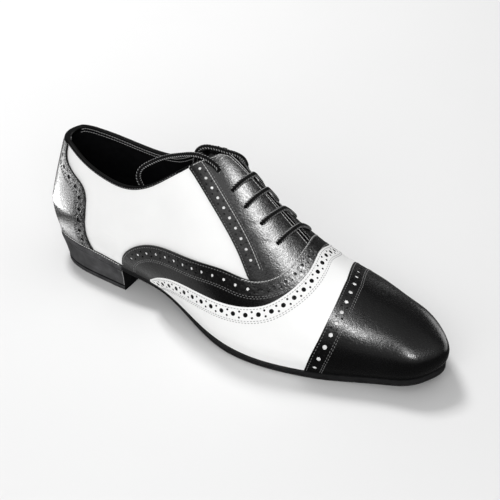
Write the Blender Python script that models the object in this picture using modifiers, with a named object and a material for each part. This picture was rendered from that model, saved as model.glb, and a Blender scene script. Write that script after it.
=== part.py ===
"""Two-tone lace-up dance shoe, right foot.

A white upper on a thin leather sole and a low heel, with a black toe cap, wing, lace
facings and heel counter laid over it. Every leather piece is read from one surface, the
last, which is worked out from the length, ball width, instep height and heel rise.
"""

from collections import namedtuple
import math

import bmesh
import bpy
import numpy as np

METRE = 0.001  # all sizes below are millimetres, x from heel to toe, -y lateral, +y medial

# Driving sizes of the last
LAST_LENGTH = 282.5
BALL_WIDTH = 88.0
INSTEP_HEIGHT = 94.5
FOREFOOT_HEIGHT = 4.4
HEEL_RISE = 18.6
TOE_SPRING = 8.6
HEEL_TIP_SWAY = 4.0
TOE_TIP_SWAY = -4.4
HEEL_POLE = 34.0
TOE_POLE = 246.0
POLE_SOFTNESS = 10.0
SIDE_BLEND = 12.0

# Thicknesses and gaps
GAP = 0.3
UPPER_SKIN = -1.1
UPPER_WALL = 1.8
PANEL_SKIN = UPPER_SKIN + 0.58
WING_LEATHER = 1.0
FACING_LEATHER = 1.0
COUNTER_LEATHER = 1.1
VAMP_SKIN = PANEL_SKIN + 0.3
VAMP_LEATHER = 1.0
CAP_LEATHER = 1.6
PANEL_LIFT_OFF_SOLE = 1.0
TONGUE_CLEARANCE = 1.7
TONGUE_LEATHER = 1.8

# Sole, heel and insole
HEEL_BREAST = 66.0
TOP_PIECE_HEIGHT = 4.2
INSOLE_THICKNESS = 2.0
INSOLE_INSET = 3.2

# Panels on the wall
TYPICAL_GIRTH = 110.0
SEAM_GIRTH = 0.004
MEDIAL_SETBACK = 4.5
MEDIAL_TURN = 0.15
WING_HEEL_INSET = 1.5
WING_RUN_IN = 2.0
FACING_TOP = 125.0
FACING_SHOULDER = (116.0, 0.885)
FACING_SEAM = 1.0
FACING_FOOT_GIRTH = (0.58, 0.9)

# Throat and laces
SLIT_FROM_RIDGE = {"lateral": 0.4, "medial": 3.8}
SLIT_END = 188.0
TONGUE_TOP = 118.5
TONGUE_END = 192.0
TONGUE_HALF_WIDTH = 24.0
TONGUE_TOP_SHARE = 0.6
TONGUE_CORNER = 4.8
LACE_WIDTH = 3.2
LACE_THICKNESS = 1.4
LACE_END_DIAMETER = 2.8

# Collar binding, folded over the top line
BINDING_REACH = 1.4
BINDING_END = 106.0
BINDING_SEAT = 0.5
BINDING_CREST = 1.2
BINDING_SHOULDER = 0.7
BINDING_THICKNESS = 0.8
BINDING_SKIN = UPPER_SKIN + GAP
BINDING_LINING = UPPER_SKIN - UPPER_WALL - 2 * GAP

OutlineRow = namedtuple("OutlineRow", "along lateral medial")
FeatherRow = namedtuple("FeatherRow", "along heel_share toe_share")
BulgeRow = namedtuple("BulgeRow", "along lateral medial height")
RidgeRow = namedtuple("RidgeRow", "along height side_pull lateral_crown medial_crown sway")
CollarRow = namedtuple("CollarRow", "x lateral medial")
EdgeRow = namedtuple("EdgeRow", "x girth")
CapRow = namedtuple("CapRow", "girth lateral medial")
CounterRow = namedtuple("CounterRow", "girth x")
SoleRow = namedtuple("SoleRow", "x overhang thickness")
RoundingRow = namedtuple("RoundingRow", "depth overhang")
HeelRow = namedtuple("HeelRow", "height inset lean")
TopPieceRow = namedtuple("TopPieceRow", "height inset")
SectionRow = namedtuple("SectionRow", "along out")
EyeletRow = namedtuple("EyeletRow", "x lateral medial")

# Feather line seen from above: percent of the length, percent of the ball width
OUTLINE = [OutlineRow(*row) for row in (
    (0.9, 6.3, 15.3), (3.5, 16.3, 25.7), (8.5, 23.5, 33.3), (16.3, 27.3, 36.3),
    (25.5, 30.2, 33.5), (35.4, 31.5, 29.3), (44.6, 40.0, 29.8), (53.1, 48.9, 36.9),
    (61.6, 52.3, 45.5), (70.1, 49.4, 49.4), (78.6, 42.6, 47.2), (85.7, 34.9, 38.7),
    (91.3, 30.2, 30.2), (95.9, 25.5, 17.4), (98.8, 15.4, 5.6))]

# Height of the feather line: shares of the heel rise and of the toe spring
FEATHER = [FeatherRow(*row) for row in (
    (0.0, 0.94, 0.0), (10.6, 0.96, 0.0), (23.4, 0.85, 0.0), (31.9, 0.67, 0.0), (40.7, 0.355, 0.0),
    (49.6, 0.115, 0.0), (60.2, 0.0, 0.0), (72.6, 0.0, 0.0), (85.0, 0.0, 0.21), (92.7, 0.0, 0.535),
    (100.2, 0.0, 1.0))]

# How far the wall swells past the feather line, and how high above it
BULGE = [BulgeRow(*row) for row in (
    (0.0, 4.6, 4.6, 24.0), (10.6, 4.4, 4.4, 24.0), (24.8, 5.2, 4.2, 22.0), (38.9, 7.0, 5.0, 20.0),
    (53.1, 6.0, 4.5, 17.0), (67.3, 4.0, 4.0, 14.0), (77.9, 3.5, 3.2, 12.0), (88.5, 3.2, 2.4, 10.0),
    (100.2, 3.0, 2.2, 9.0))]

# Ridge of the last: height as a percent of the instep, and how full the sides and crown are
RIDGE = [RidgeRow(*row) for row in (
    (0.0, 148.1, 0.0, 0.45, 0.45, 3.5), (12.0, 147.1, 0.02, 0.42, 0.42, 4.0),
    (21.2, 140.7, 0.10, 0.38, 0.38, 4.4), (35.4, 125.9, 0.40, 0.39, 0.37, 7.0),
    (42.5, 115.3, 0.49, 0.42, 0.28, 8.4), (49.6, 102.0, 0.50, 0.45, 0.15, 9.0),
    (56.6, 84.8, 0.48, 0.50, 0.20, 8.6), (63.7, 67.5, 0.46, 0.53, 0.28, 7.5),
    (70.8, 53.0, 0.44, 0.52, 0.29, 5.6), (77.9, 44.2, 0.45, 0.53, 0.34, 3.6),
    (85.0, 36.7, 0.52, 0.56, 0.45, 2.1), (92.7, 31.5, 0.58, 0.60, 0.60, 0.0),
    (100.2, 24.9, 0.60, 0.60, 0.60, -3.5))]

# Height of the top line above the floor
COLLAR = [CollarRow(*row) for row in (
    (4.0, 91.0, 91.0), (14.0, 91.2, 86.6), (25.0, 88.3, 83.2), (40.0, 83.2, 80.2), (55.0, 80.0, 79.1),
    (70.0, 79.9, 79.9), (80.0, 82.5, 82.3), (90.0, 87.6, 87.6), (100.0, 94.8, 94.8),
    (110.0, 101.8, 101.8), (116.0, 105.3, 105.3), (123.0, 106.7, 106.7))]

# Panel edges on the wall: x, and the share of the girth from feather line to ridge
WING_EDGE = [EdgeRow(*row) for row in (
    (67.5, 0.03), (70.5, 0.11), (76.0, 0.18), (91.0, 0.28), (111.0, 0.353), (135.0, 0.425),
    (156.0, 0.487), (169.5, 0.521), (180.3, 0.622), (184.8, 0.79), (184.3, 1.0))]
SWOOP_EDGE = [EdgeRow(*row) for row in (
    (89.5, 0.025), (99.5, 0.121), (117.0, 0.213), (142.0, 0.281), (164.0, 0.337), (181.4, 0.433),
    (189.3, 0.56), (193.8, 0.74), (193.7, 0.89), (192.0, 1.0))]
FACING_EDGE = [EdgeRow(*row) for row in (
    (111.2, 0.80), (117.6, 0.776), (130.4, 0.724), (143.3, 0.672), (156.4, 0.606), (166.5, 0.527))]
CAP_EDGE = [CapRow(*row) for row in (
    (0.0, 209.5, 200.0), (0.15, 213.3, 202.0), (0.33, 216.6, 204.5), (0.5, 217.6, 206.3),
    (0.67, 217.2, 208.0), (0.85, 215.8, 210.8), (1.0, 213.0, 213.0))]
COUNTER_EDGE = [CounterRow(*row) for row in (
    (0.0, 43.5), (0.04, 40.8), (0.137, 38.8), (0.215, 39.2), (0.283, 38.9), (0.349, 38.0), (0.39, 35.1),
    (0.421, 28.9), (0.455, 20.6), (0.488, 15.4), (0.543, 13.0), (1.0, 13.4))]

# Sole edge past the feather line, and sole thickness
SOLE = [SoleRow(*row) for row in (
    (0.0, 1.2, 3.4), (40.0, 0.9, 3.4), (70.0, 0.4, 3.5), (100.0, 0.2, 3.6), (125.0, 1.0, 4.0),
    (150.0, 1.9, 4.5), (200.0, 2.1, 4.5), (250.0, 2.1, 4.4), (283.0, 2.2, 4.2))]
SOLE_ROUNDING = [RoundingRow(*row) for row in ((0.0, -0.5), (0.18, 0.0), (0.72, 0.0), (1.0, -0.9))]

# Heel block and top piece: share of the height, and how far they draw in and lean
HEEL = [HeelRow(*row) for row in ((1.0, -0.1, 0.0), (0.55, 0.9, 1.8), (0.0, 1.5, 4.0))]
TOP_PIECE = [TopPieceRow(*row) for row in ((1.0, 0.1), (0.5, 0.1), (0.14, 0.3), (0.0, 0.9))]

# Section of the collar binding: along the wall from its top edge, and out from the last
BINDING_SECTION = [SectionRow(*row) for row in (
    (-BINDING_REACH, BINDING_SKIN), (-BINDING_REACH, BINDING_SKIN + BINDING_THICKNESS),
    (BINDING_SHOULDER, BINDING_SKIN + BINDING_THICKNESS), (BINDING_CREST, BINDING_SKIN),
    (BINDING_CREST, BINDING_LINING), (BINDING_SHOULDER, BINDING_LINING - BINDING_THICKNESS),
    (-BINDING_REACH, BINDING_LINING - BINDING_THICKNESS), (-BINDING_REACH, BINDING_LINING),
    (BINDING_SEAT, BINDING_LINING), (BINDING_SEAT, BINDING_SKIN))]
BINDING_CAP = ((1, 2, 3, 4, 5, 6), (0, 9, 9, 8, 8, 7))  # corners of the section that face each other
LACE_CAP = ((0, 1, 2, 3), (7, 6, 5, 4))

# Eyelets: x, and the distance from the ridge on each side
EYELETS = [EyeletRow(*row) for row in (
    (128.0, 14.1, 13.5), (139.7, 17.2, 15.5), (149.7, 18.7, 16.5), (160.9, 18.0, 16.5),
    (173.0, 18.5, 17.0))]
BAR_SLANT = (5.0, 6.0, 5.0, 6.0, 4.0)  # how far forward each bar runs on its way to the medial side

# Lace ends, from the top eyelets over the throat and down into the shoe: x, y, z
LATERAL_LACE_END = (
    (128.4, -5.2, 103.2), (122.2, -5.2, 106.4), (116.4, -6.4, 108.5), (109.0, -6.6, 107.6),
    (101.0, -6.4, 104.6), (93.0, -6.2, 101.2), (85.6, -7.2, 97.4), (78.7, -9.6, 93.0),
    (74.6, -12.6, 88.8), (74.4, -14.4, 84.2), (77.0, -15.0, 79.6), (80.4, -15.6, 74.2), (83.0, -16.8, 67.4))
MEDIAL_LACE_END = (
    (133.4, 18.7, 91.7), (134.2, 17.4, 96.4), (133.2, 15.4, 100.8), (130.5, 13.2, 103.7),
    (127.2, 11.2, 105.3), (123.6, 9.7, 106.1), (119.9, 8.2, 107.3), (116.9, 6.6, 108.1), (113.9, 4.9, 108.7),
    (110.9, 3.7, 108.0), (108.4, 3.2, 105.9), (106.8, 3.2, 102.6), (105.6, 3.6, 97.6), (104.8, 4.2, 92.0))

# Mesh resolution: numbers of steps, along the foot or edge and then across
STATIONS = 38
THROAT_STATIONS = (115.0, 119.0, 123.0)
THROAT_MARGIN = 3.0
END_CROWDING = 0.35
UPPER_ROWS = 10
WING_GRID = (23, 4)
VAMP_GRID = (22, 7)
CAP_GRID = (12, 12)
FACING_GRID = (12, 5)
COUNTER_STEPS = 8
TONGUE_GRID = (10, 5)
SOLE_STATIONS = 38
INSOLE_STATIONS = 32
HEEL_STATIONS = 16
BAR_STEPS = 8
BAR_SIDES = 8
LACE_END_STEP = 4.6
OUTLINE_SAMPLES = 2000
WALL_SAMPLES = 24
CROWN_SAMPLES = 60
PROBE_AROUND = 5e-4
PROBE_GIRTH = 0.004
LEVEL_GIRTH = 0.08
RIDGE_GIRTH = 0.999
WELD = 0.05

WHITE = (0.86, 0.86, 0.85)
BLACK = (0.012, 0.012, 0.013)
HEEL_GREY = (0.07, 0.07, 0.072)
LACE_BLACK = (0.02, 0.02, 0.021)


def natural_spline(knots, values):
    """Cubic spline through the values, straight at its two ends."""
    knots = np.asarray(knots, float)
    values = np.asarray(values, float).reshape(len(knots), -1)
    step = np.diff(knots)
    count = len(knots)
    system = np.eye(count)
    target = np.zeros_like(values)
    for i in range(1, count - 1):
        system[i, i - 1:i + 2] = step[i - 1], 2 * (step[i - 1] + step[i]), step[i]
        rise = (values[i + 1] - values[i]) / step[i]
        target[i] = 6 * (rise - (values[i] - values[i - 1]) / step[i - 1])
    bend = np.linalg.solve(system, target)

    def at(place):
        place = np.asarray(place, float)
        i = np.clip(np.searchsorted(knots, place) - 1, 0, count - 2)
        left = (knots[i + 1] - place)[..., None]
        right = (place - knots[i])[..., None]
        width = step[i][..., None]
        cubic = (bend[i] * left ** 3 + bend[i + 1] * right ** 3) / (6 * width)
        line = (values[i] / width - bend[i] * width / 6) * left
        return cubic + line + (values[i + 1] / width - bend[i + 1] * width / 6) * right

    return at


def column(table, name, size=1.0):
    """One named column of a table as a function of its first column."""
    at = natural_spline([row[0] * size for row in table], [getattr(row, name) for row in table])
    return lambda place: at(place)[..., 0]


def edge_knots(points):
    """Distances along a line of (x, girth) points on the wall, as shares of its length."""
    chord = np.linalg.norm(np.diff(points, axis=0) * (1.0, TYPICAL_GIRTH), axis=1)
    return np.concatenate([[0.0], np.cumsum(chord)]) / chord.sum()


def curve_through(points):
    """Smooth curve through (x, girth) points, read at shares of its length."""
    return natural_spline(edge_knots(points), points)


def polyline(points):
    """Bent line through (x, girth) points, read at shares of its length."""
    knots = edge_knots(points)
    x, girth = np.transpose(points)
    return lambda share: np.stack([np.interp(share, knots, x), np.interp(share, knots, girth)], -1)


def soft_clamp(value, low, high, softness):
    """The value held between two limits, rounded off where it meets them."""
    below = -softness * np.logaddexp(-value / softness, -high / softness)
    return softness * np.logaddexp(below / softness, low / softness)


class Last:
    """The foot form: walls that rise from the feather line to the ridge along the instep."""

    def __init__(self):
        percent = LAST_LENGTH / 100
        self.height = column(RIDGE, "height", percent)
        self.side_pull = column(RIDGE, "side_pull", percent)
        self.lateral_crown = column(RIDGE, "lateral_crown", percent)
        self.medial_crown = column(RIDGE, "medial_crown", percent)
        self.sway = column(RIDGE, "sway", percent)
        self.lateral_bulge = column(BULGE, "lateral", percent)
        self.medial_bulge = column(BULGE, "medial", percent)
        self.bulge_height = column(BULGE, "height", percent)
        self.heel_share = column(FEATHER, "heel_share", percent)
        self.toe_share = column(FEATHER, "toe_share", percent)
        self.outline_at = self.make_outline()
        around = np.linspace(0.0, 0.5, OUTLINE_SAMPLES + 1)
        self.lateral_x = self.outline_at(around)[:, 0]
        self.medial_x = self.outline_at(1.0 - around)[:, 0]
        self.around = around

    def make_outline(self):
        """Closed feather line, from the heel along the lateral side to the toe and back."""
        half = BALL_WIDTH / 100
        lateral = [(row.along * LAST_LENGTH / 100, -row.lateral * half) for row in OUTLINE]
        medial = [(row.along * LAST_LENGTH / 100, row.medial * half) for row in OUTLINE]
        loop = [(0.0, HEEL_TIP_SWAY)] + lateral + [(LAST_LENGTH, TOE_TIP_SWAY)] + medial[::-1]
        loop = np.array(loop)
        chord = np.linalg.norm(np.roll(loop, -1, 0) - loop, axis=1)
        knots = np.concatenate([[0.0], np.cumsum(np.tile(chord, 3))])
        at = natural_spline(knots, np.vstack([loop, loop, loop, loop[:1]]))
        toe = chord[:len(lateral) + 1].sum() / chord.sum()

        def outline(share):
            share = np.mod(share, 1.0)
            first = share / 0.5 * toe
            second = toe + (share - 0.5) / 0.5 * (1.0 - toe)
            return at(chord.sum() * (1.0 + np.where(share < 0.5, first, second)))

        return outline

    def around_at(self, x, side):
        """Place on the outline, 0 at the heel and 0.5 at the toe, at a distance along the foot."""
        if side == "lateral":
            return np.interp(x, self.lateral_x, self.around)
        return 1.0 - np.interp(x, self.medial_x, self.around)

    def feather(self, x):
        x = np.clip(x, 0.0, LAST_LENGTH)
        return FOREFOOT_HEIGHT + HEEL_RISE * self.heel_share(x) + TOE_SPRING * self.toe_share(x)

    def walls(self, around):
        """Sampled walls: horizontal reach, height, share of girth, ridge point and direction."""
        foot = self.outline_at(around)
        x = np.clip(foot[:, 0], 0.0, LAST_LENGTH)
        ridge_x = soft_clamp(foot[:, 0], HEEL_POLE, TOE_POLE, POLE_SOFTNESS)
        ridge = np.stack([ridge_x, self.sway(ridge_x)], axis=1)
        reach = np.linalg.norm(foot - ridge, axis=1)
        out = (foot - ridge) / reach[:, None]
        lateral = np.clip(0.5 - 0.5 * foot[:, 1] / SIDE_BLEND, 0.0, 1.0)
        lateral = lateral * lateral * (3.0 - 2.0 * lateral)
        bulge = self.lateral_bulge(x) * lateral + self.medial_bulge(x) * (1.0 - lateral)
        low = self.feather(x)
        wide = low + self.bulge_height(x)
        top = self.height(ridge_x) * INSTEP_HEIGHT / 100
        slope = (self.height(ridge_x + 0.5) - self.height(ridge_x - 0.5)) * INSTEP_HEIGHT / 100
        most = (reach + bulge)[:, None]
        rise = np.linspace(0.0, 1.0, WALL_SAMPLES + 1)[None, :]
        reach_low = most - bulge[:, None] * (1.0 - rise) ** 2
        height_low = low[:, None] + (wide - low)[:, None] * rise
        t = np.linspace(0.0, 1.0, CROWN_SAMPLES + 1)[None, 1:]
        crown = self.lateral_crown(ridge_x) * lateral + self.medial_crown(ridge_x) * (1.0 - lateral)
        crown = crown[:, None] * most
        handle = wide + self.side_pull(ridge_x) * (top - wide)
        crown_z = top[:, None] + crown * (slope * out[:, 0])[:, None]
        weights = (1 - t) ** 3, 3 * t * (1 - t) ** 2, 3 * t * t * (1 - t), t ** 3
        reach_up = (weights[0] + weights[1]) * most + weights[2] * crown
        height_up = weights[0] * wide[:, None] + weights[1] * handle[:, None]
        height_up = height_up + weights[2] * crown_z + weights[3] * top[:, None]
        reaches = np.hstack([reach_low, reach_up])
        heights = np.hstack([height_low, height_up])
        length = np.hypot(np.diff(reaches, axis=1), np.diff(heights, axis=1)).cumsum(axis=1)
        length = np.hstack([np.zeros((len(foot), 1)), length])
        return reaches, heights, length, ridge, out

    def bare_point(self, around, girth):
        reaches, heights, length, ridge, out = self.walls(around)
        points = np.empty((len(around), 3))
        for i, share in enumerate(girth):
            walk = share * length[i, -1]
            points[i, :2] = ridge[i] + out[i] * np.interp(walk, length[i], reaches[i])
            points[i, 2] = np.interp(walk, length[i], heights[i])
        return points

    def point(self, around, girth, lift=0.0):
        """Points on the wall, moved out along its normal by a lift."""
        around, girth = np.broadcast_arrays(np.asarray(around, float), np.asarray(girth, float))
        shape = around.shape
        around, girth = around.ravel(), girth.ravel()
        points = self.bare_point(around, girth)
        if lift:
            inner = np.clip(girth, PROBE_GIRTH, 1.0 - PROBE_GIRTH)
            ahead, behind = around + PROBE_AROUND, around - PROBE_AROUND
            forward = self.bare_point(ahead, inner) - self.bare_point(behind, inner)
            above, below = inner + PROBE_GIRTH, inner - PROBE_GIRTH
            upward = self.bare_point(around, above) - self.bare_point(around, below)
            normal = np.cross(forward, upward)
            level = np.minimum(1.0, girth / LEVEL_GIRTH)
            normal[:, 2] *= level * level
            normal = np.where((girth > RIDGE_GIRTH)[:, None], self.ridge_normal(around), normal)
            points = points + lift * normal / np.linalg.norm(normal, axis=1)[:, None]
        return points.reshape(*shape, 3)

    def ridge_normal(self, around):
        """Normal at the ridge, where the two sides meet level across the foot."""
        ridge_x = soft_clamp(self.outline_at(around)[:, 0], HEEL_POLE, TOE_POLE, POLE_SOFTNESS)
        slope = (self.height(ridge_x + 0.5) - self.height(ridge_x - 0.5)) * INSTEP_HEIGHT / 100
        return np.stack([-slope, np.zeros_like(slope), np.ones_like(slope)], axis=1)

    def girth_length(self, around):
        return self.walls(np.atleast_1d(around))[2][:, -1]

    def girth_at_height(self, around, height):
        """Share of the girth where the wall reaches a height."""
        _, heights, length, _, _ = self.walls(np.atleast_1d(around))
        rows = zip(np.atleast_1d(height), heights, length)
        return np.array([np.interp(z, np.maximum.accumulate(h), l) / l[-1] for z, h, l in rows])


LAST = Last()


def stations(count):
    """Distances along the foot, closest together round the heel and the toe."""
    t = np.linspace(0.0, 1.0, count + 1)
    around = 0.5 * (t - END_CROWDING * np.sin(2.0 * math.pi * t) / (2.0 * math.pi))
    return np.interp(around, LAST.around, LAST.lateral_x)


def upper_stations():
    """Stations of the upper, with more of them where the top line turns into the lacing slit."""
    low, high = THROAT_STATIONS[0] - THROAT_MARGIN, THROAT_STATIONS[-1] + THROAT_MARGIN
    rest = [x for x in stations(STATIONS) if not low < x < high]
    return np.sort(np.array(rest + list(THROAT_STATIONS)))


def top_edge(x, side):
    """Share of the girth at the top line, then at the edge of the lacing slit, then at the ridge."""
    around = LAST.around_at(x, side)
    if x >= SLIT_END:
        return 1.0
    slit = 1.0 - SLIT_FROM_RIDGE[side] / LAST.girth_length(around)[0]
    if x > COLLAR[-1].x:
        return slit
    height = column(COLLAR, side)(max(x, COLLAR[0].x))
    return min(slit, LAST.girth_at_height(around, height)[0])


def side_patch(side, edge_points, lift):
    """Patch of the wall on one side, from rows of (x, girth) points."""
    edge_points = np.asarray(edge_points, float)
    around = LAST.around_at(edge_points[..., 0], side)
    return LAST.point(around, edge_points[..., 1], lift)


def coons_patch(first, last, start, end, grid):
    """Grid of (x, girth) points filled in between four edge curves."""
    u = np.linspace(0.0, 1.0, grid[0] + 1)[:, None, None]
    v = np.linspace(0.0, 1.0, grid[1] + 1)[None, :, None]
    low, high = first(u[:, 0, 0])[:, None], last(u[:, 0, 0])[:, None]
    left, right = start(v[0, :, 0])[None], end(v[0, :, 0])[None]
    corners = (1 - u) * ((1 - v) * low[:1] + v * high[:1]) + u * ((1 - v) * low[-1:] + v * high[-1:])
    return (1 - v) * low + v * high + (1 - u) * left + u * right - corners


def straight(start, end):
    start, end = np.asarray(start, float), np.asarray(end, float)
    return lambda share: start + np.asarray(share)[..., None] * (end - start)


def make_material(name, colour, roughness):
    material = bpy.data.materials.new(name)
    material.use_nodes = True
    shader = material.node_tree.nodes["Principled BSDF"]
    shader.inputs["Base Color"].default_value = (*colour, 1.0)
    shader.inputs["Roughness"].default_value = roughness
    shader.inputs["Metallic"].default_value = 0.0
    material.diffuse_color = (*colour, 1.0)
    return material


def add_part(name, mesh, colour, roughness):
    part = bpy.data.objects.new(name, mesh)
    mesh.materials.append(make_material(name, colour, roughness))
    SHOE.objects.link(part)
    return part


def mesh_from_patches(name, patches, closed):
    """Grids of points joined along the edges that they share."""
    grid = bmesh.new()
    for patch in patches:
        corners = [[grid.verts.new(point * METRE) for point in row] for row in patch]
        for low, high in zip(corners, corners[1:]):
            for a, b, c, d in zip(low, high, high[1:], low[1:]):
                grid.faces.new((a, b, c, d))
    bmesh.ops.remove_doubles(grid, verts=grid.verts, dist=WELD * METRE)
    bmesh.ops.dissolve_degenerate(grid, edges=grid.edges, dist=WELD * METRE)
    if closed:
        bmesh.ops.recalc_face_normals(grid, faces=grid.faces)
    mesh = bpy.data.meshes.new(name)
    grid.to_mesh(mesh)
    grid.free()
    mesh.shade_smooth()
    return mesh


def facing_out(patch, lifted):
    """The patch with its rows in the order that turns its faces outwards."""
    i, j = patch.shape[0] // 2, patch.shape[1] // 2
    normal = np.cross(patch[i, j - 1] - patch[i - 1, j - 1], patch[i - 1, j] - patch[i - 1, j - 1])
    return patch if normal @ (lifted[i, j] - patch[i, j]) > 0 else patch[::-1]


def leather(name, sides, lift, thickness, outwards, colour, roughness):
    """Leather piece: an open surface on the last, given its thickness by Solidify."""
    patches = []
    for side, points in sides:
        patches.append(facing_out(side_patch(side, points, lift), side_patch(side, points, lift + 1.0)))
    piece = add_part(name, mesh_from_patches(name, patches, False), colour, roughness)
    wall = piece.modifiers.new("leather", "SOLIDIFY")
    wall.thickness = thickness * METRE
    wall.offset = 1.0 if outwards else -1.0
    return piece


def make_upper():
    """White upper: open below, at the top line and along the lacing slit."""
    sides = []
    for side in ("lateral", "medial"):
        rows = []
        for x in upper_stations():
            shares = np.linspace(0.0, 1.0, UPPER_ROWS + 1) * top_edge(x, side)
            rows.append([(x, share) for share in shares])
        sides.append((side, rows))
    return leather("upper", sides, UPPER_SKIN, UPPER_WALL, False, WHITE, 0.4)


def medial_edge(rows):
    """A panel edge on the medial side, set back towards the heel as it leaves the ridge."""
    back = [MEDIAL_SETBACK * math.tanh((1.0 - row.girth) / MEDIAL_TURN) for row in rows]
    return [EdgeRow(row.x - step, row.girth) for row, step in zip(rows, back)]


def off_sole(x, side):
    return PANEL_LIFT_OFF_SOLE / LAST.girth_length(LAST.around_at(x, side))[0]


def side_edges(side):
    """The wing, swoop and facing edges of one side."""
    tables = WING_EDGE, SWOOP_EDGE, FACING_EDGE
    return tables if side == "lateral" else tuple(medial_edge(table) for table in tables)


def cap_edge(side, share):
    return column(CAP_EDGE, side)(share)


def make_wing():
    """Black wing: along the waist on both sides and across the foot of the throat."""
    sides = []
    for side in ("lateral", "medial"):
        wing, swoop, _ = side_edges(side)
        low = off_sole(wing[0].x, side)
        lower = [(wing[0].x + WING_HEEL_INSET, low), (swoop[0].x - WING_RUN_IN, low)]
        lower += [(row.x - GAP, min(row.girth + SEAM_GIRTH, 1.0)) for row in swoop]
        upper_edge = curve_through(wing)
        lower_edge = curve_through(lower)
        heel = straight(lower_edge(0.0), upper_edge(0.0))
        ridge = straight(lower_edge(1.0), upper_edge(1.0))
        sides.append((side, coons_patch(lower_edge, upper_edge, heel, ridge, WING_GRID)))
    return leather("wing", sides, PANEL_SKIN, WING_LEATHER, True, BLACK, 0.3)


def make_vamp():
    """White vamp: below the swoop and back from the toe cap."""
    sides = []
    for side in ("lateral", "medial"):
        swoop = side_edges(side)[1]
        low = off_sole(swoop[0].x, side)
        lower = [(swoop[0].x, low)]
        lower += [(cap_edge(side, share) - GAP, share) for share in np.linspace(low, 1.0, len(CAP_EDGE))]
        upper_edge = curve_through(swoop)
        lower_edge = polyline(lower)
        heel = straight(lower_edge(0.0), upper_edge(0.0))
        ridge = straight(lower_edge(1.0), upper_edge(1.0))
        sides.append((side, coons_patch(lower_edge, upper_edge, heel, ridge, VAMP_GRID)))
    return leather("vamp", sides, VAMP_SKIN, VAMP_LEATHER, True, WHITE, 0.4)


def make_toe_cap():
    """Black toe cap, closed over the toe."""
    sides = []
    for side in ("lateral", "medial"):
        rows = []
        for share in np.linspace(off_sole(LAST_LENGTH, side), 1.0, CAP_GRID[1] + 1):
            start = cap_edge(side, share)
            bend = np.sin(np.linspace(0.0, math.pi / 2, CAP_GRID[0] + 1))
            rows.append([(start + (LAST_LENGTH - start) * part, share) for part in bend])
        sides.append((side, rows))
    return leather("toe_cap", sides, PANEL_SKIN, CAP_LEATHER, True, BLACK, 0.22)


def make_facing(side):
    """Black lace facing, from the lacing slit to its slanted back edge."""
    wing, _, facing = side_edges(side)
    back = curve_through(facing)
    ridge_end = wing[-2:]
    slit_girth = 1.0 - SLIT_FROM_RIDGE[side] / TYPICAL_GIRTH
    slit_foot = np.interp(slit_girth, [row.girth for row in ridge_end], [row.x for row in ridge_end])
    slit_foot = slit_foot - FACING_SEAM
    low, high = FACING_FOOT_GIRTH

    def slit(share):
        x = FACING_TOP + (slit_foot - FACING_TOP) * np.asarray(share)
        lengths = LAST.girth_length(LAST.around_at(np.atleast_1d(x), side)).reshape(np.shape(x))
        return np.stack([x, 1.0 - (SLIT_FROM_RIDGE[side] + GAP) / lengths], -1)

    upper_end = curve_through([facing[0], FACING_SHOULDER, tuple(slit(0.0))])
    seam = [(row.x - FACING_SEAM, row.girth + SEAM_GIRTH) for row in wing if low < row.girth < high]
    lower_end = curve_through([facing[-1]] + seam + [tuple(slit(1.0))])
    grid = coons_patch(back, slit, upper_end, lower_end, FACING_GRID)
    return leather("facing_" + side, [(side, grid)], PANEL_SKIN, FACING_LEATHER, True, BLACK, 0.3)


def counter_top(side, x):
    """Top of the counter, just under the collar binding."""
    return top_edge(x, side) - (BINDING_REACH + 2.5 * GAP) / LAST.girth_length(LAST.around_at(x, side))[0]


def make_counter():
    """Black heel counter, wide at the sole and a narrow strip up the back."""
    full = counter_top("lateral", COUNTER_EDGE[-1].x)
    sides = []
    for side in ("lateral", "medial"):
        grid = []
        for edge in COUNTER_EDGE:
            share = min(edge.girth / full, 1.0)
            row = []
            for turn in np.linspace(0.0, math.pi / 2, COUNTER_STEPS + 1):
                x = edge.x * (1.0 - math.cos(turn))
                low = off_sole(x, side)
                row.append((x, low + share * (counter_top(side, x) - low)))
            grid.append(row)
        sides.append((side, grid))
    return leather("heel_counter", sides, PANEL_SKIN, COUNTER_LEATHER, True, BLACK, 0.22)


def make_binding():
    """Black binding folded over the top line, from one facing round the heel to the other."""
    places = [("lateral", x) for x in upper_stations() if x < BINDING_END]
    places = places[::-1] + [("medial", x) for _, x in places[1:]]
    rings = []
    for side, x in places:
        around = LAST.around_at(x, side)
        length = LAST.girth_length(around)[0]
        top = top_edge(x, side)
        section = [LAST.point(around, top + along / length, out) for along, out in BINDING_SECTION]
        rings.append(np.array(section))
    mesh = mesh_from_patches("collar_binding", tube_patches(rings, BINDING_CAP), True)
    return add_part("collar_binding", mesh, BLACK, 0.35)


def tube_patches(rings, cap_rows):
    """Patches for a bar through rings of points, with end caps between two rows of each ring."""
    around = np.array([np.vstack([ring, ring[:1]]) for ring in rings])
    caps = [ring[np.array(cap_rows)] for ring in (rings[0], rings[-1])]
    return [around] + caps


def make_tongue():
    """Tongue under the slit, standing a little above the facings."""
    sides = []
    for side in ("lateral", "medial"):
        rows = []
        for x in np.linspace(TONGUE_TOP, TONGUE_END, TONGUE_GRID[0] + 1):
            length = LAST.girth_length(LAST.around_at(x, side))[0]
            widening = (1.0 - TONGUE_TOP_SHARE) * (x - TONGUE_TOP) / TONGUE_CORNER
            corner = min(1.0, TONGUE_TOP_SHARE + widening)
            reach = np.linspace(TONGUE_HALF_WIDTH * corner, 0.0, TONGUE_GRID[1] + 1)
            rows.append([(x, 1.0 - part / length) for part in reach])
        sides.append((side, rows))
    lift = UPPER_SKIN - UPPER_WALL - TONGUE_CLEARANCE
    return leather("tongue", sides, lift, TONGUE_LEATHER, False, BLACK, 0.4)


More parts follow.
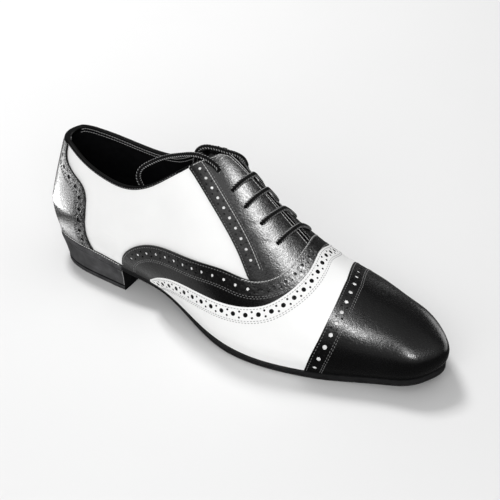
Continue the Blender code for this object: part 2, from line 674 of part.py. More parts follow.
def slab_patches(rings):
    """Patches for a solid between rings of (lateral, medial) rows, closed above, below and in front."""
    patches = []
    for side in (0, 1):
        patches.append(np.array([ring[:, side] for ring in rings]))
    for ring in (rings[0], rings[-1]):
        patches.append(np.array([ring[:, 0], ring[:, 1]]))
    for end in (0, -1):
        patches.append(np.array([ring[end] for ring in rings]))
    return patches


def sole_ring(places, overhang, heights):
    """Lateral and medial rows of the feather line, moved out sideways, at given heights."""
    ring = np.empty((len(places), 2, 3))
    for k, side in enumerate(("lateral", "medial")):
        around = LAST.around_at(places, side)
        around[0], around[places >= LAST_LENGTH] = k, 0.5
        forward = LAST.outline_at(around + 1e-4) - LAST.outline_at(around - 1e-4)
        out = np.stack([forward[:, 1], -forward[:, 0]], -1)
        out /= np.linalg.norm(out, axis=1)[:, None]
        ring[:, k, :2] = LAST.outline_at(around) + out * np.asarray(overhang)[..., None]
        ring[:, k, 2] = heights
    return ring


def make_outsole():
    """Leather sole with its waist, flat forefoot and toe spring."""
    places = stations(SOLE_STATIONS)
    overhang = column(SOLE, "overhang")(places)
    top = LAST.feather(places) - GAP
    under = np.maximum(top - column(SOLE, "thickness")(places), 0.0)
    rings = []
    for row in SOLE_ROUNDING:
        rings.append(sole_ring(places, overhang + row.overhang, top + row.depth * (under - top)))
    return add_part("outsole", mesh_from_patches("outsole", slab_patches(rings), True), BLACK, 0.5)


def heel_ring(places, row, heights):
    ring = sole_ring(places, column(SOLE, "overhang")(places) - row.inset, heights)
    ring[..., 0] += row.lean * (1.0 - places / HEEL_BREAST)[:, None] ** 2
    return ring


def heel_places():
    return HEEL_BREAST * (1.0 - np.cos(np.linspace(0.0, math.pi / 2, HEEL_STATIONS + 1)))


def make_heel_stack():
    """Low heel block, leaning forward at the back, under the heel seat of the sole."""
    places = heel_places()
    top = LAST.feather(places) - GAP - column(SOLE, "thickness")(places) - GAP
    low = TOP_PIECE_HEIGHT + GAP
    rings = [heel_ring(places, row, low + row.height * (top - low)) for row in HEEL]
    mesh = mesh_from_patches("heel_stack", slab_patches(rings), True)
    return add_part("heel_stack", mesh, HEEL_GREY, 0.4)


def make_top_piece():
    """Wearing piece of the heel, flat on the floor."""
    places = heel_places()
    foot = HEEL[-1]
    rings = []
    for row in TOP_PIECE:
        edge = HeelRow(row.height, foot.inset + row.inset, foot.lean)
        rings.append(heel_ring(places, edge, np.full(len(places), row.height * TOP_PIECE_HEIGHT)))
    mesh = mesh_from_patches("heel_top_piece", slab_patches(rings), True)
    return add_part("heel_top_piece", mesh, BLACK, 0.6)


def make_insole():
    """Insole lying on the sole, inside the upper."""
    places = stations(INSOLE_STATIONS)
    low = LAST.feather(places)
    inset = np.full(len(places), -INSOLE_INSET)
    rings = [sole_ring(places, inset, low), sole_ring(places, inset, low + INSOLE_THICKNESS)]
    return add_part("insole", mesh_from_patches("insole", slab_patches(rings), True), LACE_BLACK, 0.6)


def make_lace_bar(number, eyelet, slant):
    """Flat lace bar over the slit, from the lateral eyelet to the medial one."""
    lift = PANEL_SKIN + FACING_LEATHER + GAP + LACE_THICKNESS / 2
    share = np.linspace(0.0, 1.0, BAR_STEPS + 1)
    reach = -eyelet.lateral + share * (eyelet.lateral + eyelet.medial)
    turn = (np.arange(BAR_SIDES) + 0.5) * 2.0 * math.pi / BAR_SIDES
    rings = []
    centres, lifted = [], []
    for place, offset in zip(eyelet.x + slant * share, reach):
        side = "lateral" if offset < 0 else "medial"
        around = LAST.around_at(place, side)
        girth = 1.0 - abs(offset) / LAST.girth_length(around)[0]
        centres.append(LAST.point(around, girth, lift))
        lifted.append(LAST.point(around, girth, lift + 1.0))
    centres, lifted = np.array(centres), np.array(lifted)
    along = np.gradient(centres, axis=0)
    for centre, up, run in zip(centres, lifted - centres, along):
        across = np.cross(run, up)
        across /= np.linalg.norm(across)
        flat = np.cos(turn)[:, None] * across * LACE_WIDTH / 2
        rings.append(centre + flat + np.sin(turn)[:, None] * up * LACE_THICKNESS / 2)
    name = f"lace_bar_{number}"
    return add_part(name, mesh_from_patches(name, tube_patches(rings, LACE_CAP), True), LACE_BLACK, 0.7)


def make_lace_end(name, route):
    """Free lace end: a capped tube along a smooth curve through its route."""
    route = np.asarray(route, float)
    chord = np.linalg.norm(np.diff(route, axis=0), axis=1)
    knots = np.concatenate([[0.0], np.cumsum(chord)])
    count = int(knots[-1] / LACE_END_STEP)
    points = natural_spline(knots, route)(np.linspace(0.0, knots[-1], count + 1)) * METRE
    data = bpy.data.curves.new(name, "CURVE")
    data.dimensions = "3D"
    data.bevel_depth = LACE_END_DIAMETER / 2 * METRE
    data.bevel_resolution = 2
    data.use_fill_caps = True
    spline = data.splines.new("POLY")
    spline.points.add(count)
    for point, place in zip(spline.points, points):
        point.co = (*place, 1.0)
    cord = bpy.data.objects.new(name, data)
    data.materials.append(make_material(name, LACE_BLACK, 0.7))
    SHOE.objects.link(cord)
    return cord


def stand_on_floor(parts):
    """Hang every part on one empty that puts the middle of the shoe's footprint at the origin."""
    bpy.context.view_layer.update()
    graph = bpy.context.evaluated_depsgraph_get()
    corners = []
    for part in parts:
        corners += [tuple(corner) for corner in part.evaluated_get(graph).bound_box]
    low, high = np.min(corners, axis=0), np.max(corners, axis=0)
    stand = bpy.data.objects.new("shoe_origin", None)
    SHOE.objects.link(stand)
    stand.location = (-(low[0] + high[0]) / 2, -(low[1] + high[1]) / 2, -low[2])
    for part in SHOE.objects:
        if part is not stand:
            part.parent = stand


for old in list(bpy.data.objects):
    bpy.data.objects.remove(old, do_unlink=True)
SHOE = bpy.data.collections.new("dance_shoe")
bpy.context.scene.collection.children.link(SHOE)

BODY = [make_outsole(), make_heel_stack(), make_top_piece(), make_insole(), make_upper(), make_tongue()]
BODY += [make_wing(), make_vamp(), make_toe_cap(), make_counter(), make_binding()]
BODY += [make_facing("lateral"), make_facing("medial")]
for bar in range(1, len(EYELETS)):
    BODY.append(make_lace_bar(bar, EYELETS[bar], BAR_SLANT[bar]))
make_lace_end("lace_end_lateral", LATERAL_LACE_END)
make_lace_end("lace_end_medial", MEDIAL_LACE_END)
stand_on_floor(BODY)
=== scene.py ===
from collections import namedtuple
import math
from types import SimpleNamespace

import bmesh
import bpy
from bpy.props import FloatProperty, FloatVectorProperty, PointerProperty
from mathutils import Matrix, Vector
from mathutils.geometry import delaunay_2d_cdt
from mathutils.kdtree import KDTree
import numpy as np


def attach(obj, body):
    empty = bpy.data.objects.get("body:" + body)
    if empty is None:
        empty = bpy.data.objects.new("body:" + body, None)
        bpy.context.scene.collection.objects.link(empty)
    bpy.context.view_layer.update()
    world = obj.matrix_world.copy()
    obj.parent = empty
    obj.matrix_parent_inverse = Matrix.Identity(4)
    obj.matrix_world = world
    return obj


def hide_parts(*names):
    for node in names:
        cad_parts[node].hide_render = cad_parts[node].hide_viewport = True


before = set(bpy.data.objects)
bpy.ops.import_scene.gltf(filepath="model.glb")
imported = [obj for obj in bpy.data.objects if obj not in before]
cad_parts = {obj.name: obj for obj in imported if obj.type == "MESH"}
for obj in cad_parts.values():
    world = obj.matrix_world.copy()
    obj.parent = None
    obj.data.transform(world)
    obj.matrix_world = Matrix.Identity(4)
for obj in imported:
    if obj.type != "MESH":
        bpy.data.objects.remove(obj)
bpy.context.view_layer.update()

bl_info = {
    "name": "Dance shoe",
    "version": (1, 0, 0),
    "blender": (4, 5, 0),
    "location": "3D View > Sidebar > Shoe",
    "description": "Dresses a packed lace-up dance shoe with leather, stitches, laces and a stage",
    "category": "Object",
}

MM = 0.001  # sizes inside the functions are millimetres on the last: x to the toe, -y lateral, z up
BODY = "root"
ORIGIN_ON_LAST = (140.734, -1.564, 0.0)  # the frame's origin, on the last
SIDES = ("lateral", "medial")
GIRTH_SCALE = 110.0  # width of one side of the wall in the flat pattern
AROUND_STEPS = 1600
GIRTH_STEPS = 240

OutlineRow = namedtuple("OutlineRow", "along lateral medial")
FeatherRow = namedtuple("FeatherRow", "along heel_share toe_share")
BulgeRow = namedtuple("BulgeRow", "along lateral medial height")
RidgeRow = namedtuple("RidgeRow", "along height side_pull lateral_crown medial_crown sway")
CollarRow = namedtuple("CollarRow", "x lateral medial")
EdgeRow = namedtuple("EdgeRow", "x girth")
CapRow = namedtuple("CapRow", "girth lateral medial")
SoleRow = namedtuple("SoleRow", "x overhang thickness")
RoundingRow = namedtuple("RoundingRow", "depth overhang")
HeelRow = namedtuple("HeelRow", "height inset lean")
TopPieceRow = namedtuple("TopPieceRow", "height inset")
EyeletRow = namedtuple("EyeletRow", "x lateral medial")
CreaseRow = namedtuple("CreaseRow", "side x girth turn half_length width depth")
RimRow = namedtuple("RimRow", "out down lean")
HoleRow = namedtuple("HoleRow", "inset first final pitch")
LeatherRow = namedtuple(
    "LeatherRow", "key name colour roughness spread coat coat_roughness specular grain depth mottle")
LightRow = namedtuple("LightRow", "name place aim width height turn power shines_on")

# Feather line seen from above: percent of the length, percent of the ball width
OUTLINE = [OutlineRow(*row) for row in (
    (0.9, 6.3, 15.3), (3.5, 16.3, 25.7), (8.5, 23.5, 33.3), (16.3, 27.3, 36.3),
    (25.5, 30.2, 33.5), (35.4, 31.5, 29.3), (44.6, 40.0, 29.8), (53.1, 48.9, 36.9),
    (61.6, 52.3, 45.5), (70.1, 49.4, 49.4), (78.6, 42.6, 47.2), (85.7, 34.9, 38.7),
    (91.3, 30.2, 30.2), (95.9, 25.5, 17.4), (98.8, 15.4, 5.6))]
HEEL_TIP_SWAY = 4.0
TOE_TIP_SWAY = -4.4

# Height of the feather line: shares of the heel rise and of the toe spring
FEATHER = [FeatherRow(*row) for row in (
    (0.0, 0.94, 0.0), (10.6, 0.96, 0.0), (23.4, 0.85, 0.0), (31.9, 0.67, 0.0), (40.7, 0.355, 0.0),
    (49.6, 0.115, 0.0), (60.2, 0.0, 0.0), (72.6, 0.0, 0.0), (85.0, 0.0, 0.21), (92.7, 0.0, 0.535),
    (100.2, 0.0, 1.0))]

# How far the wall swells past the feather line, and how high above it
BULGE = [BulgeRow(*row) for row in (
    (0.0, 4.6, 4.6, 24.0), (10.6, 4.4, 4.4, 24.0), (24.8, 5.2, 4.2, 22.0), (38.9, 7.0, 5.0, 20.0),
    (53.1, 6.0, 4.5, 17.0), (67.3, 4.0, 4.0, 14.0), (77.9, 3.5, 3.2, 12.0), (88.5, 3.2, 2.4, 10.0),
    (100.2, 3.0, 2.2, 9.0))]

# Ridge of the last: height as a percent of the instep, and how full the sides and crown are
RIDGE = [RidgeRow(*row) for row in (
    (0.0, 148.1, 0.0, 0.45, 0.45, 3.5), (12.0, 147.1, 0.02, 0.42, 0.42, 4.0),
    (21.2, 140.7, 0.10, 0.38, 0.38, 4.4), (35.4, 125.9, 0.40, 0.39, 0.37, 7.0),
    (42.5, 115.3, 0.49, 0.42, 0.28, 8.4), (49.6, 102.0, 0.50, 0.45, 0.15, 9.0),
    (56.6, 84.8, 0.48, 0.50, 0.20, 8.6), (63.7, 67.5, 0.46, 0.53, 0.28, 7.5),
    (70.8, 53.0, 0.44, 0.52, 0.29, 5.6), (77.9, 44.2, 0.45, 0.53, 0.34, 3.6),
    (85.0, 36.7, 0.52, 0.56, 0.45, 2.1), (92.7, 31.5, 0.58, 0.60, 0.60, 0.0),
    (100.2, 24.9, 0.60, 0.60, 0.60, -3.5))]
HEEL_POLE = 34.0
TOE_POLE = 246.0
POLE_SOFTNESS = 10.0
SIDE_BLEND = 12.0

# Height of the top line above the floor
COLLAR = [CollarRow(*row) for row in (
    (4.0, 91.0, 91.0), (14.0, 91.2, 86.6), (25.0, 88.3, 83.2), (40.0, 83.2, 80.2), (55.0, 80.0, 79.1),
    (70.0, 79.9, 79.9), (80.0, 82.5, 82.3), (90.0, 87.6, 87.6), (100.0, 94.8, 94.8),
    (110.0, 101.8, 101.8), (116.0, 105.3, 105.3), (123.0, 106.7, 106.7))]

# Panel edges on the wall: x, and the share of the girth from feather line to ridge
WING_EDGE = [EdgeRow(*row) for row in (
    (67.5, 0.03), (70.5, 0.11), (76.0, 0.18), (91.0, 0.28), (111.0, 0.353), (135.0, 0.425),
    (156.0, 0.487), (169.5, 0.521), (180.3, 0.622), (184.8, 0.79), (184.3, 1.0))]
SWOOP_EDGE = [EdgeRow(*row) for row in (
    (89.5, 0.025), (99.5, 0.121), (117.0, 0.213), (142.0, 0.281), (164.0, 0.337), (181.4, 0.433),
    (189.3, 0.56), (193.8, 0.74), (193.7, 0.89), (192.0, 1.0))]
FACING_EDGE = [EdgeRow(*row) for row in (
    (111.2, 0.80), (117.6, 0.776), (130.4, 0.724), (143.3, 0.672), (156.4, 0.606), (166.5, 0.527))]
CAP_EDGE = [CapRow(*row) for row in (
    (0.0, 209.8, 200.0), (0.15, 213.4, 200.9), (0.33, 216.6, 202.0), (0.5, 217.4, 203.4),
    (0.67, 217.1, 206.4), (0.85, 215.6, 210.4), (1.0, 213.8, 213.8))]
COUNTER_EDGE = [EdgeRow(*row) for row in (
    (40.6, 0.0), (39.7, 0.04), (38.8, 0.137), (39.2, 0.215), (38.9, 0.283), (38.0, 0.349), (35.1, 0.39),
    (28.9, 0.421), (20.6, 0.455), (15.4, 0.488), (13.0, 0.543), (13.4, 0.61))]
MEDIAL_SETBACK = 4.5
MEDIAL_TURN = 0.15

# Sole edge past the feather line, and sole thickness
SOLE = [SoleRow(*row) for row in (
    (0.0, 1.2, 3.4), (40.0, 0.9, 3.4), (70.0, 0.4, 3.5), (100.0, 0.2, 3.6), (125.0, 1.0, 4.0),
    (150.0, 1.9, 4.5), (200.0, 2.1, 4.5), (250.0, 2.1, 4.4), (283.0, 2.2, 4.2))]
SOLE_ROUNDING = [RoundingRow(*row) for row in (
    (0.0, -1.4), (0.02, -0.5), (0.09, -0.12), (0.2, 0.0), (0.3, -0.02), (0.36, -0.16), (0.42, -0.02),
    (0.74, 0.0), (0.88, -0.18), (0.97, -0.55), (1.0, -0.95))]

# Heel block and top piece: share of the height, and how far they draw in and lean
HEEL = [HeelRow(*row) for row in ((0.0, 1.5, 4.0), (0.55, 0.9, 1.8), (1.0, -0.1, 0.0))]
TOP_PIECE = [TopPieceRow(*row) for row in (
    (1.0, 0.9), (0.97, 0.6), (0.9, 0.4), (0.72, 0.3), (0.6, 0.1), (0.5, 0.1), (0.2, 0.15), (0.08, 0.4),
    (0.0, 0.9))]

# Eyelets: x, and the distance from the ridge on each side
EYELETS = [EyeletRow(*row) for row in (
    (128.0, 14.1, 13.5), (139.7, 17.2, 15.5), (149.7, 18.7, 16.5), (160.9, 18.0, 16.5),
    (173.0, 18.5, 17.0))]
BAR_SLANT = (5.0, 6.0, 5.0, 6.0, 4.0)

# Lace ends, from the top eyelets over the throat and down into the shoe: x, y, z
LATERAL_LACE_END = (
    (128.4, -5.2, 103.2), (122.2, -5.2, 106.4), (116.4, -6.4, 108.5), (109.0, -6.6, 107.6),
    (101.0, -6.4, 104.6), (93.0, -6.2, 101.2), (85.6, -7.2, 97.4), (78.7, -9.6, 93.0),
    (74.6, -12.6, 88.8), (74.4, -14.4, 84.2), (77.0, -15.0, 79.6), (80.4, -15.6, 74.2),
    (83.0, -16.8, 67.4))
MEDIAL_LACE_END = (
    (133.4, 18.7, 91.7), (134.2, 17.4, 96.4), (133.2, 15.4, 100.8), (130.5, 13.2, 103.7),
    (127.2, 11.2, 105.3), (123.6, 9.7, 106.1), (119.9, 8.2, 107.3), (116.9, 6.6, 108.1),
    (113.9, 4.9, 108.7), (110.9, 3.7, 108.0), (108.4, 3.2, 105.9), (106.8, 3.2, 102.6),
    (105.6, 3.6, 97.6), (104.8, 4.2, 92.0))

# Soft troughs, and ridges where the depth is negative, drawn on the wall
CREASES = [CreaseRow(*row) for row in (
    ("lateral", 149.0, 0.80, 58.0, 4.0, 1.6, 0.07), ("lateral", 158.0, 0.79, 55.0, 5.0, 1.6, 0.08),
    ("lateral", 170.0, 0.78, 50.0, 5.0, 1.8, 0.09), ("lateral", 160.0, 0.70, 35.0, 12.0, 4.0, 0.06),
    ("medial", 149.0, 0.80, -58.0, 4.0, 1.6, 0.07), ("medial", 158.0, 0.79, -55.0, 5.0, 1.6, 0.08),
    ("medial", 170.0, 0.78, -50.0, 5.0, 1.8, 0.09), ("medial", 160.0, 0.70, -35.0, 12.0, 4.0, 0.06),
    ("lateral", 200.0, 0.62, 76.0, 22.0, 5.0, 0.22), ("medial", 200.0, 0.62, -76.0, 22.0, 5.0, 0.22),
    ("lateral", 62.0, 0.36, 20.0, 16.0, 7.0, 0.35), ("medial", 62.0, 0.36, -20.0, 16.0, 7.0, 0.35),
    ("medial", 129.0, 0.90, 0.0, 12.0, 7.0, -3.2),
    ("lateral", 90.0, 0.52, -25.0, 18.0, 6.0, 0.30), ("medial", 90.0, 0.52, 25.0, 18.0, 6.0, 0.30))]

# Section of a cut edge: out from the panel, down from its surface, and how far its normal leans out
PANEL_RIM = [RimRow(*row) for row in ((0.07, 0.05, 0.5), (0.13, 0.2, 0.92), (0.12, 1.3, 1.0))]
HOLE_RIM = [RimRow(*row) for row in ((0.08, 0.06, 0.6), (0.14, 0.24, 1.0), (0.14, 0.62, 1.0))]

# Soft boxes in metres, their turn in degrees. A box with nodes to shine on only gives these their gloss
LIGHTS = [LightRow(*row) for row in (
    ("key", (-0.76, 0.50, 1.22), (0.0, 0.0, 0.02), 0.42, 0.42, 0.0, 16.5, ()),
    ("fill", (0.45, -1.30, 0.80), (0.0, 0.0, 0.04), 1.60, 0.80, 0.0, 17.5, ()),
    ("facing_box", (0.53, 0.21, 0.89), (0.01, 0.0, 0.085), 0.32, 0.32, 0.0, 18.5,
     ("facing_lateral", "facing_medial", "wing")),
    ("facing_glow", (0.19, -0.42, 0.98), (0.01, 0.0, 0.085), 0.60, 0.50, 0.0, 2.6,
     ("facing_lateral", "facing_medial", "wing")),
    ("wing_glow", (-0.085, -0.090, 0.008), (-0.06, -0.06, 0.2), 0.12, 0.12, 0.0, 0.035, ("wing",)),
    ("cap_strip", (0.25, -0.065, 1.03), (0.105, -0.02, 0.03), 0.20, 0.10, 53.0, 5.4, ("toe_cap",)),
    ("cap_glow", (0.11, 0.11, 1.03), (0.105, -0.02, 0.03), 0.22, 0.10, -52.0, 1.3, ("toe_cap",)),
    ("cap_spot", (0.34, 0.27, 1.03), (0.133, -0.016, 0.026), 0.06, 0.06, 0.0, 0.15, ("toe_cap",)),
    ("far_strip", (0.44, 1.05, 0.23), (0.135, 0.0, 0.03), 1.00, 0.36, -37.0, 3.0,
     ("toe_cap", "collar_binding")),
    ("heel_box", (-0.229, -0.035, 0.004), (-0.129, -0.018, 0.05), 0.11, 0.018, 0.0, 0.16,
     ("heel_counter",)),
    ("border_box", (-0.215, -0.045, 0.040), (-0.118, -0.018, 0.066), 0.14, 0.034, 0.0, 0.10,
     ("heel_counter",)),
    ("heel_low_box", (-0.236, -0.030, -0.078), (-0.12, -0.02, 0.03), 0.14, 0.032, 0.0, 0.075,
     ("heel_counter",)))]
KEY_SHADOW = ("outsole", "toe_cap", "vamp")

# Leathers: name, colour, gloss, cells of grain in a metre, grain depth in millimetres, change of colour
LEATHERS = [LeatherRow(*row) for row in (
    ("white", "white_calf", "white_leather", 0.5, 0.06, 0.03, 0.3, 0.2, 1500.0, 0.018, 0.012),
    ("black", "black_calf", "black_leather", 0.28, 0.08, 0.06, 0.22, 0.26, 1100.0, 0.06, 0.2),
    ("cap", "polished_black_calf", "black_leather", 0.25, 0.07, 0.08, 0.2, 0.22, 1150.0, 0.06, 0.2),
    ("counter", "counter_calf", "black_leather", 0.3, 0.1, 0.06, 0.26, 0.3, 1000.0, 0.08, 0.2),
    ("grained", "grained_black_calf", "black_leather", 0.34, 0.12, 0.06, 0.3, 0.34, 900.0, 0.16, 0.3),
    ("binding", "black_binding", "black_leather", 0.4, 0.05, 0.05, 0.3, 0.2, 1800.0, 0.02, 0.2))]

# Rows of holes: distance from the panel's edge, length left free at each end, and a pitch of its own
WING_HOLES = HoleRow(5.4, 12.0, 12.0, None)
VAMP_HOLES = HoleRow(4.6, 3.0, 3.0, None)
CAP_HOLES = HoleRow(5.2, 4.0, 4.0, None)
COUNTER_HOLES = HoleRow(4.6, 5.0, 5.0, None)
FACING_HOLES = HoleRow(5.4, 4.0, 3.0, 7.2)
SMALL_HOLES_BESIDE = 1.8
EYELET_RADIUS = 1.55

# Seams: distances of the rows of stitches from the panel's edge
WING_SEAMS = (1.3, 9.6, 10.8)
CAP_SEAMS = (1.3, 9.2, 10.4)
VAMP_SEAMS = (1.3, 8.4, 9.6)
COUNTER_SEAMS = (1.2, 8.0, 9.2)
WING_BORDER = 9.6
COUNTER_BORDER = 8.4
CLOSE_SEWN = 0.95  # share of the pitch that a stitch of a close seam fills

# Heights over the last, places along it and thicknesses
UPPER_SKIN = -1.1
WING_TOP = 0.48
FACING_TOP = 0.48
COUNTER_TOP = 0.58
VAMP_TOP = 0.78
CAP_TOP = 1.08
THROAT_END = 130.0
THROAT_REACH = 14.0
THROAT_DROP = 0.11
SLIT_END = 188.0
LATERAL_SLIT = 0.4
SOLE_LINE = 0.003
BINDING_END = 110.5
BINDING_REACH = 1.2
UNDER_BINDING = 0.4  # how far below the top line the counter ends
HEEL_BREAST = 66.0
TOP_PIECE_HEIGHT = 4.2
GAP = 0.3
INSOLE_INSET = 3.2
INSOLE_THICKNESS = 2.0
TONGUE_TOP = 118.5
TONGUE_END = 192.0
TONGUE_HALF_WIDTH = 24.0
TONGUE_LIFT = -4.6
TONGUE_LEATHER = 1.8
TUCK = 1.2  # how far a panel runs on under the next one
# Width of the strip along the heel breast's edge that takes the pale thread colour: a painted highlight of
# that edge
BREAST_GLINT_STRIP = 0.5
GROOVE_SHADE_FROM = 0.66  # share of the wearing piece's height above which its sides take the black lining colour: painted shade of the groove under the heel block
LACE_RINGS = 48
STRAND_PITCH = 1.7

# Material slots of a panel
WHITE_BACKING = 1
BLACK_BACKING = 2
GRAINED = 3


class ShoeSizes(bpy.types.PropertyGroup):
    """Sizes of the shoe"""

    last_length: FloatProperty(
        name="Last length", description="Length of the last from heel to toe",
        default=0.2825, min=0.15, max=0.35, unit="LENGTH")
    ball_width: FloatProperty(
        name="Ball width", description="Width that the outline's shares refer to",
        default=0.088, min=0.05, max=0.12, unit="LENGTH")
    instep_height: FloatProperty(
        name="Instep height", description="Height of the ridge over the middle of the instep",
        default=0.0945, min=0.05, max=0.15, unit="LENGTH")
    forefoot_height: FloatProperty(
        name="Forefoot height", description="Height of the feather line at the ball",
        default=0.0044, min=0.002, max=0.02, unit="LENGTH")
    heel_rise: FloatProperty(
        name="Heel rise", description="How much higher the heel seat lies than the ball",
        default=0.0186, min=0.0, max=0.09, unit="LENGTH")
    toe_spring: FloatProperty(
        name="Toe spring", description="How far the toe lifts off the floor",
        default=0.0086, min=0.0, max=0.03, unit="LENGTH")
    upper_wall: FloatProperty(
        name="Upper wall", description="Thickness of the upper with its lining",
        default=0.0018, min=0.001, max=0.003, unit="LENGTH")
    hole: FloatProperty(
        name="Large hole", description="Diameter of the large perforations",
        default=0.0029, min=0.001, max=0.005, unit="LENGTH")
    wing_hole: FloatProperty(
        name="Wing hole", description="Diameter of the large holes of the wing and the facings",
        default=0.0021, min=0.001, max=0.006, unit="LENGTH")
    small_hole: FloatProperty(
        name="Small hole", description="Diameter of the small perforations between the large ones",
        default=0.0014, min=0.0004, max=0.002, unit="LENGTH")
    hole_pitch: FloatProperty(
        name="Hole pitch", description="Distance between the large perforations",
        default=0.0080, min=0.004, max=0.02, unit="LENGTH")
    stitch: FloatProperty(
        name="Stitch length", description="Visible length of one stitch",
        default=0.0014, min=0.0006, max=0.004, unit="LENGTH")
    stitch_pitch: FloatProperty(
        name="Stitch pitch", description="Distance from one stitch to the next",
        default=0.0020, min=0.001, max=0.006, unit="LENGTH")
    thread: FloatProperty(
        name="Thread", description="Diameter of the sewing thread",
        default=0.00042, min=0.0002, max=0.001, unit="LENGTH")
    lace_width: FloatProperty(
        name="Lace width", description="Width of the lace",
        default=0.0031, min=0.002, max=0.008, unit="LENGTH")
    lace_thickness: FloatProperty(
        name="Lace thickness", description="Thickness of the lace",
        default=0.0016, min=0.0008, max=0.004, unit="LENGTH")
    slit: FloatProperty(
        name="Lacing slit", description="Width of the slit between the facings",
        default=0.0042, min=0.001, max=0.02, unit="LENGTH")
    mesh_step: FloatProperty(
        name="Mesh step", description="Distance between the points of a leather panel",
        default=0.0013, min=0.0006, max=0.004, unit="LENGTH")


class ShoeColours(bpy.types.PropertyGroup):
    """Colours of the shoe and its stage"""

    white_leather: FloatVectorProperty(
        name="White leather", description="Upper and vamp", subtype="COLOR", size=3,
        min=0.0, max=1.0, default=(0.90, 0.90, 0.895))
    black_leather: FloatVectorProperty(
        name="Black leather", description="Toe cap, wing, counter and facings", subtype="COLOR", size=3,
        min=0.0, max=1.0, default=(0.0025, 0.0025, 0.0026))
    lining: FloatVectorProperty(
        name="Lining", description="Lining and insole", subtype="COLOR", size=3,
        min=0.0, max=1.0, default=(0.006, 0.006, 0.0065))
    sole: FloatVectorProperty(
        name="Sole", description="Sole edge and underside", subtype="COLOR", size=3,
        min=0.0, max=1.0, default=(0.012, 0.012, 0.0125))
    heel: FloatVectorProperty(
        name="Heel", description="Heel block", subtype="COLOR", size=3,
        min=0.0, max=1.0, default=(0.066, 0.066, 0.068))
    rubber: FloatVectorProperty(
        name="Rubber", description="Wearing piece of the heel", subtype="COLOR", size=3,
        min=0.0, max=1.0, default=(0.050, 0.050, 0.052))
    lace: FloatVectorProperty(
        name="Lace", description="Laces", subtype="COLOR", size=3,
        min=0.0, max=1.0, default=(0.004, 0.004, 0.0041))
    # The thread on the black leather is drawn dark grey: a dark thread with a painted sheen
    dark_thread: FloatVectorProperty(
        name="Thread on black", description="Stitches on the black leather", subtype="COLOR", size=3,
        min=0.0, max=1.0, default=(0.13, 0.13, 0.13))
    # This colour also paints the highlight along the lateral facing's slit edge
    bright_thread: FloatVectorProperty(
        name="Bright thread", description="Close seams of the facings and the throat, and the seat line",
        subtype="COLOR", size=3, min=0.0, max=1.0, default=(0.60, 0.60, 0.595))
    # The thread on the white leather is drawn mid grey: white thread with painted shade. The same colour
    # paints the highlights along the heel breast's edge and along the binding's crest
    light_thread: FloatVectorProperty(
        name="Thread on white", description="Stitches on the white leather and the lining",
        subtype="COLOR", size=3, min=0.0, max=1.0, default=(0.30, 0.30, 0.30))
    floor: FloatVectorProperty(
        name="Floor", description="Floor of the stage", subtype="COLOR", size=3,
        min=0.0, max=1.0, default=(0.725, 0.725, 0.725))


class ShoeStage(bpy.types.PropertyGroup):
    """Camera and light of the stage"""

    azimuth: FloatProperty(
        name="Azimuth", description="Camera's direction round the shoe", default=math.radians(30.664),
        subtype="ANGLE")
    elevation: FloatProperty(
        name="Elevation", description="Camera's height above the horizon", default=math.radians(34.517),
        subtype="ANGLE")
    camera_place: FloatVectorProperty(
        name="Camera", description="Camera's place in the frame", subtype="TRANSLATION", size=3,
        default=(0.3502, -0.5780, 0.5095))
    lens: FloatProperty(
        name="Lens", description="Focal length on a 36 mm sensor, in millimetres", default=93.6, min=10.0)
    light: FloatProperty(
        name="Light", description="Share of the soft boxes' power", default=1.0, min=0.0, max=10.0)
    sky: FloatProperty(
        name="Sky", description="Brightness of the even light overhead", default=0.75, min=0.0, max=5.0)
    horizon: FloatProperty(
        name="Horizon", description="Brightness of the even light all round", default=0.10,
        min=0.0, max=5.0)


def natural_spline(knots, values):
    """Cubic spline through the values, straight at its two ends."""
    knots = np.asarray(knots, float)
    values = np.asarray(values, float).reshape(len(knots), -1)
    step = np.diff(knots)
    count = len(knots)
    system = np.eye(count)
    target = np.zeros_like(values)
    for i in range(1, count - 1):
        system[i, i - 1:i + 2] = step[i - 1], 2 * (step[i - 1] + step[i]), step[i]
        rise = (values[i + 1] - values[i]) / step[i]
        target[i] = 6 * (rise - (values[i] - values[i - 1]) / step[i - 1])
    bend = np.linalg.solve(system, target)

    def at(place):
        place = np.asarray(place, float)
        i = np.clip(np.searchsorted(knots, place) - 1, 0, count - 2)
        left = (knots[i + 1] - place)[..., None]
        right = (place - knots[i])[..., None]
        width = step[i][..., None]
        cubic = (bend[i] * left ** 3 + bend[i + 1] * right ** 3) / (6 * width)
        line = (values[i] / width - bend[i] * width / 6) * left
        return cubic + line + (values[i + 1] / width - bend[i + 1] * width / 6) * right

    return at


def column(table, name, size=1.0):
    """One named column of a table as a function of its first column."""
    at = natural_spline([row[0] * size for row in table], [getattr(row, name) for row in table])
    return lambda place: at(place)[..., 0]


def soft_clamp(value, low, high, softness):
    """The value held between two limits, rounded off where it meets them."""
    below = -softness * np.logaddexp(-value / softness, -high / softness)
    return softness * np.logaddexp(below / softness, low / softness)


def smooth_path(points, count, scale=1.0):
    """Points along a smooth line through a few points, evenly spaced in the scaled distances."""
    knots = run_length(points * np.asarray(scale))
    return natural_spline(knots, points)(np.linspace(0.0, knots[-1], count))


def unit(vectors):
    return vectors / np.maximum(np.linalg.norm(vectors, axis=-1, keepdims=True), 1e-12)


def run_length(points):
    """Distance walked from the first point to each point."""
    return np.concatenate([[0.0], np.linalg.norm(np.diff(points, axis=0), axis=1).cumsum()])


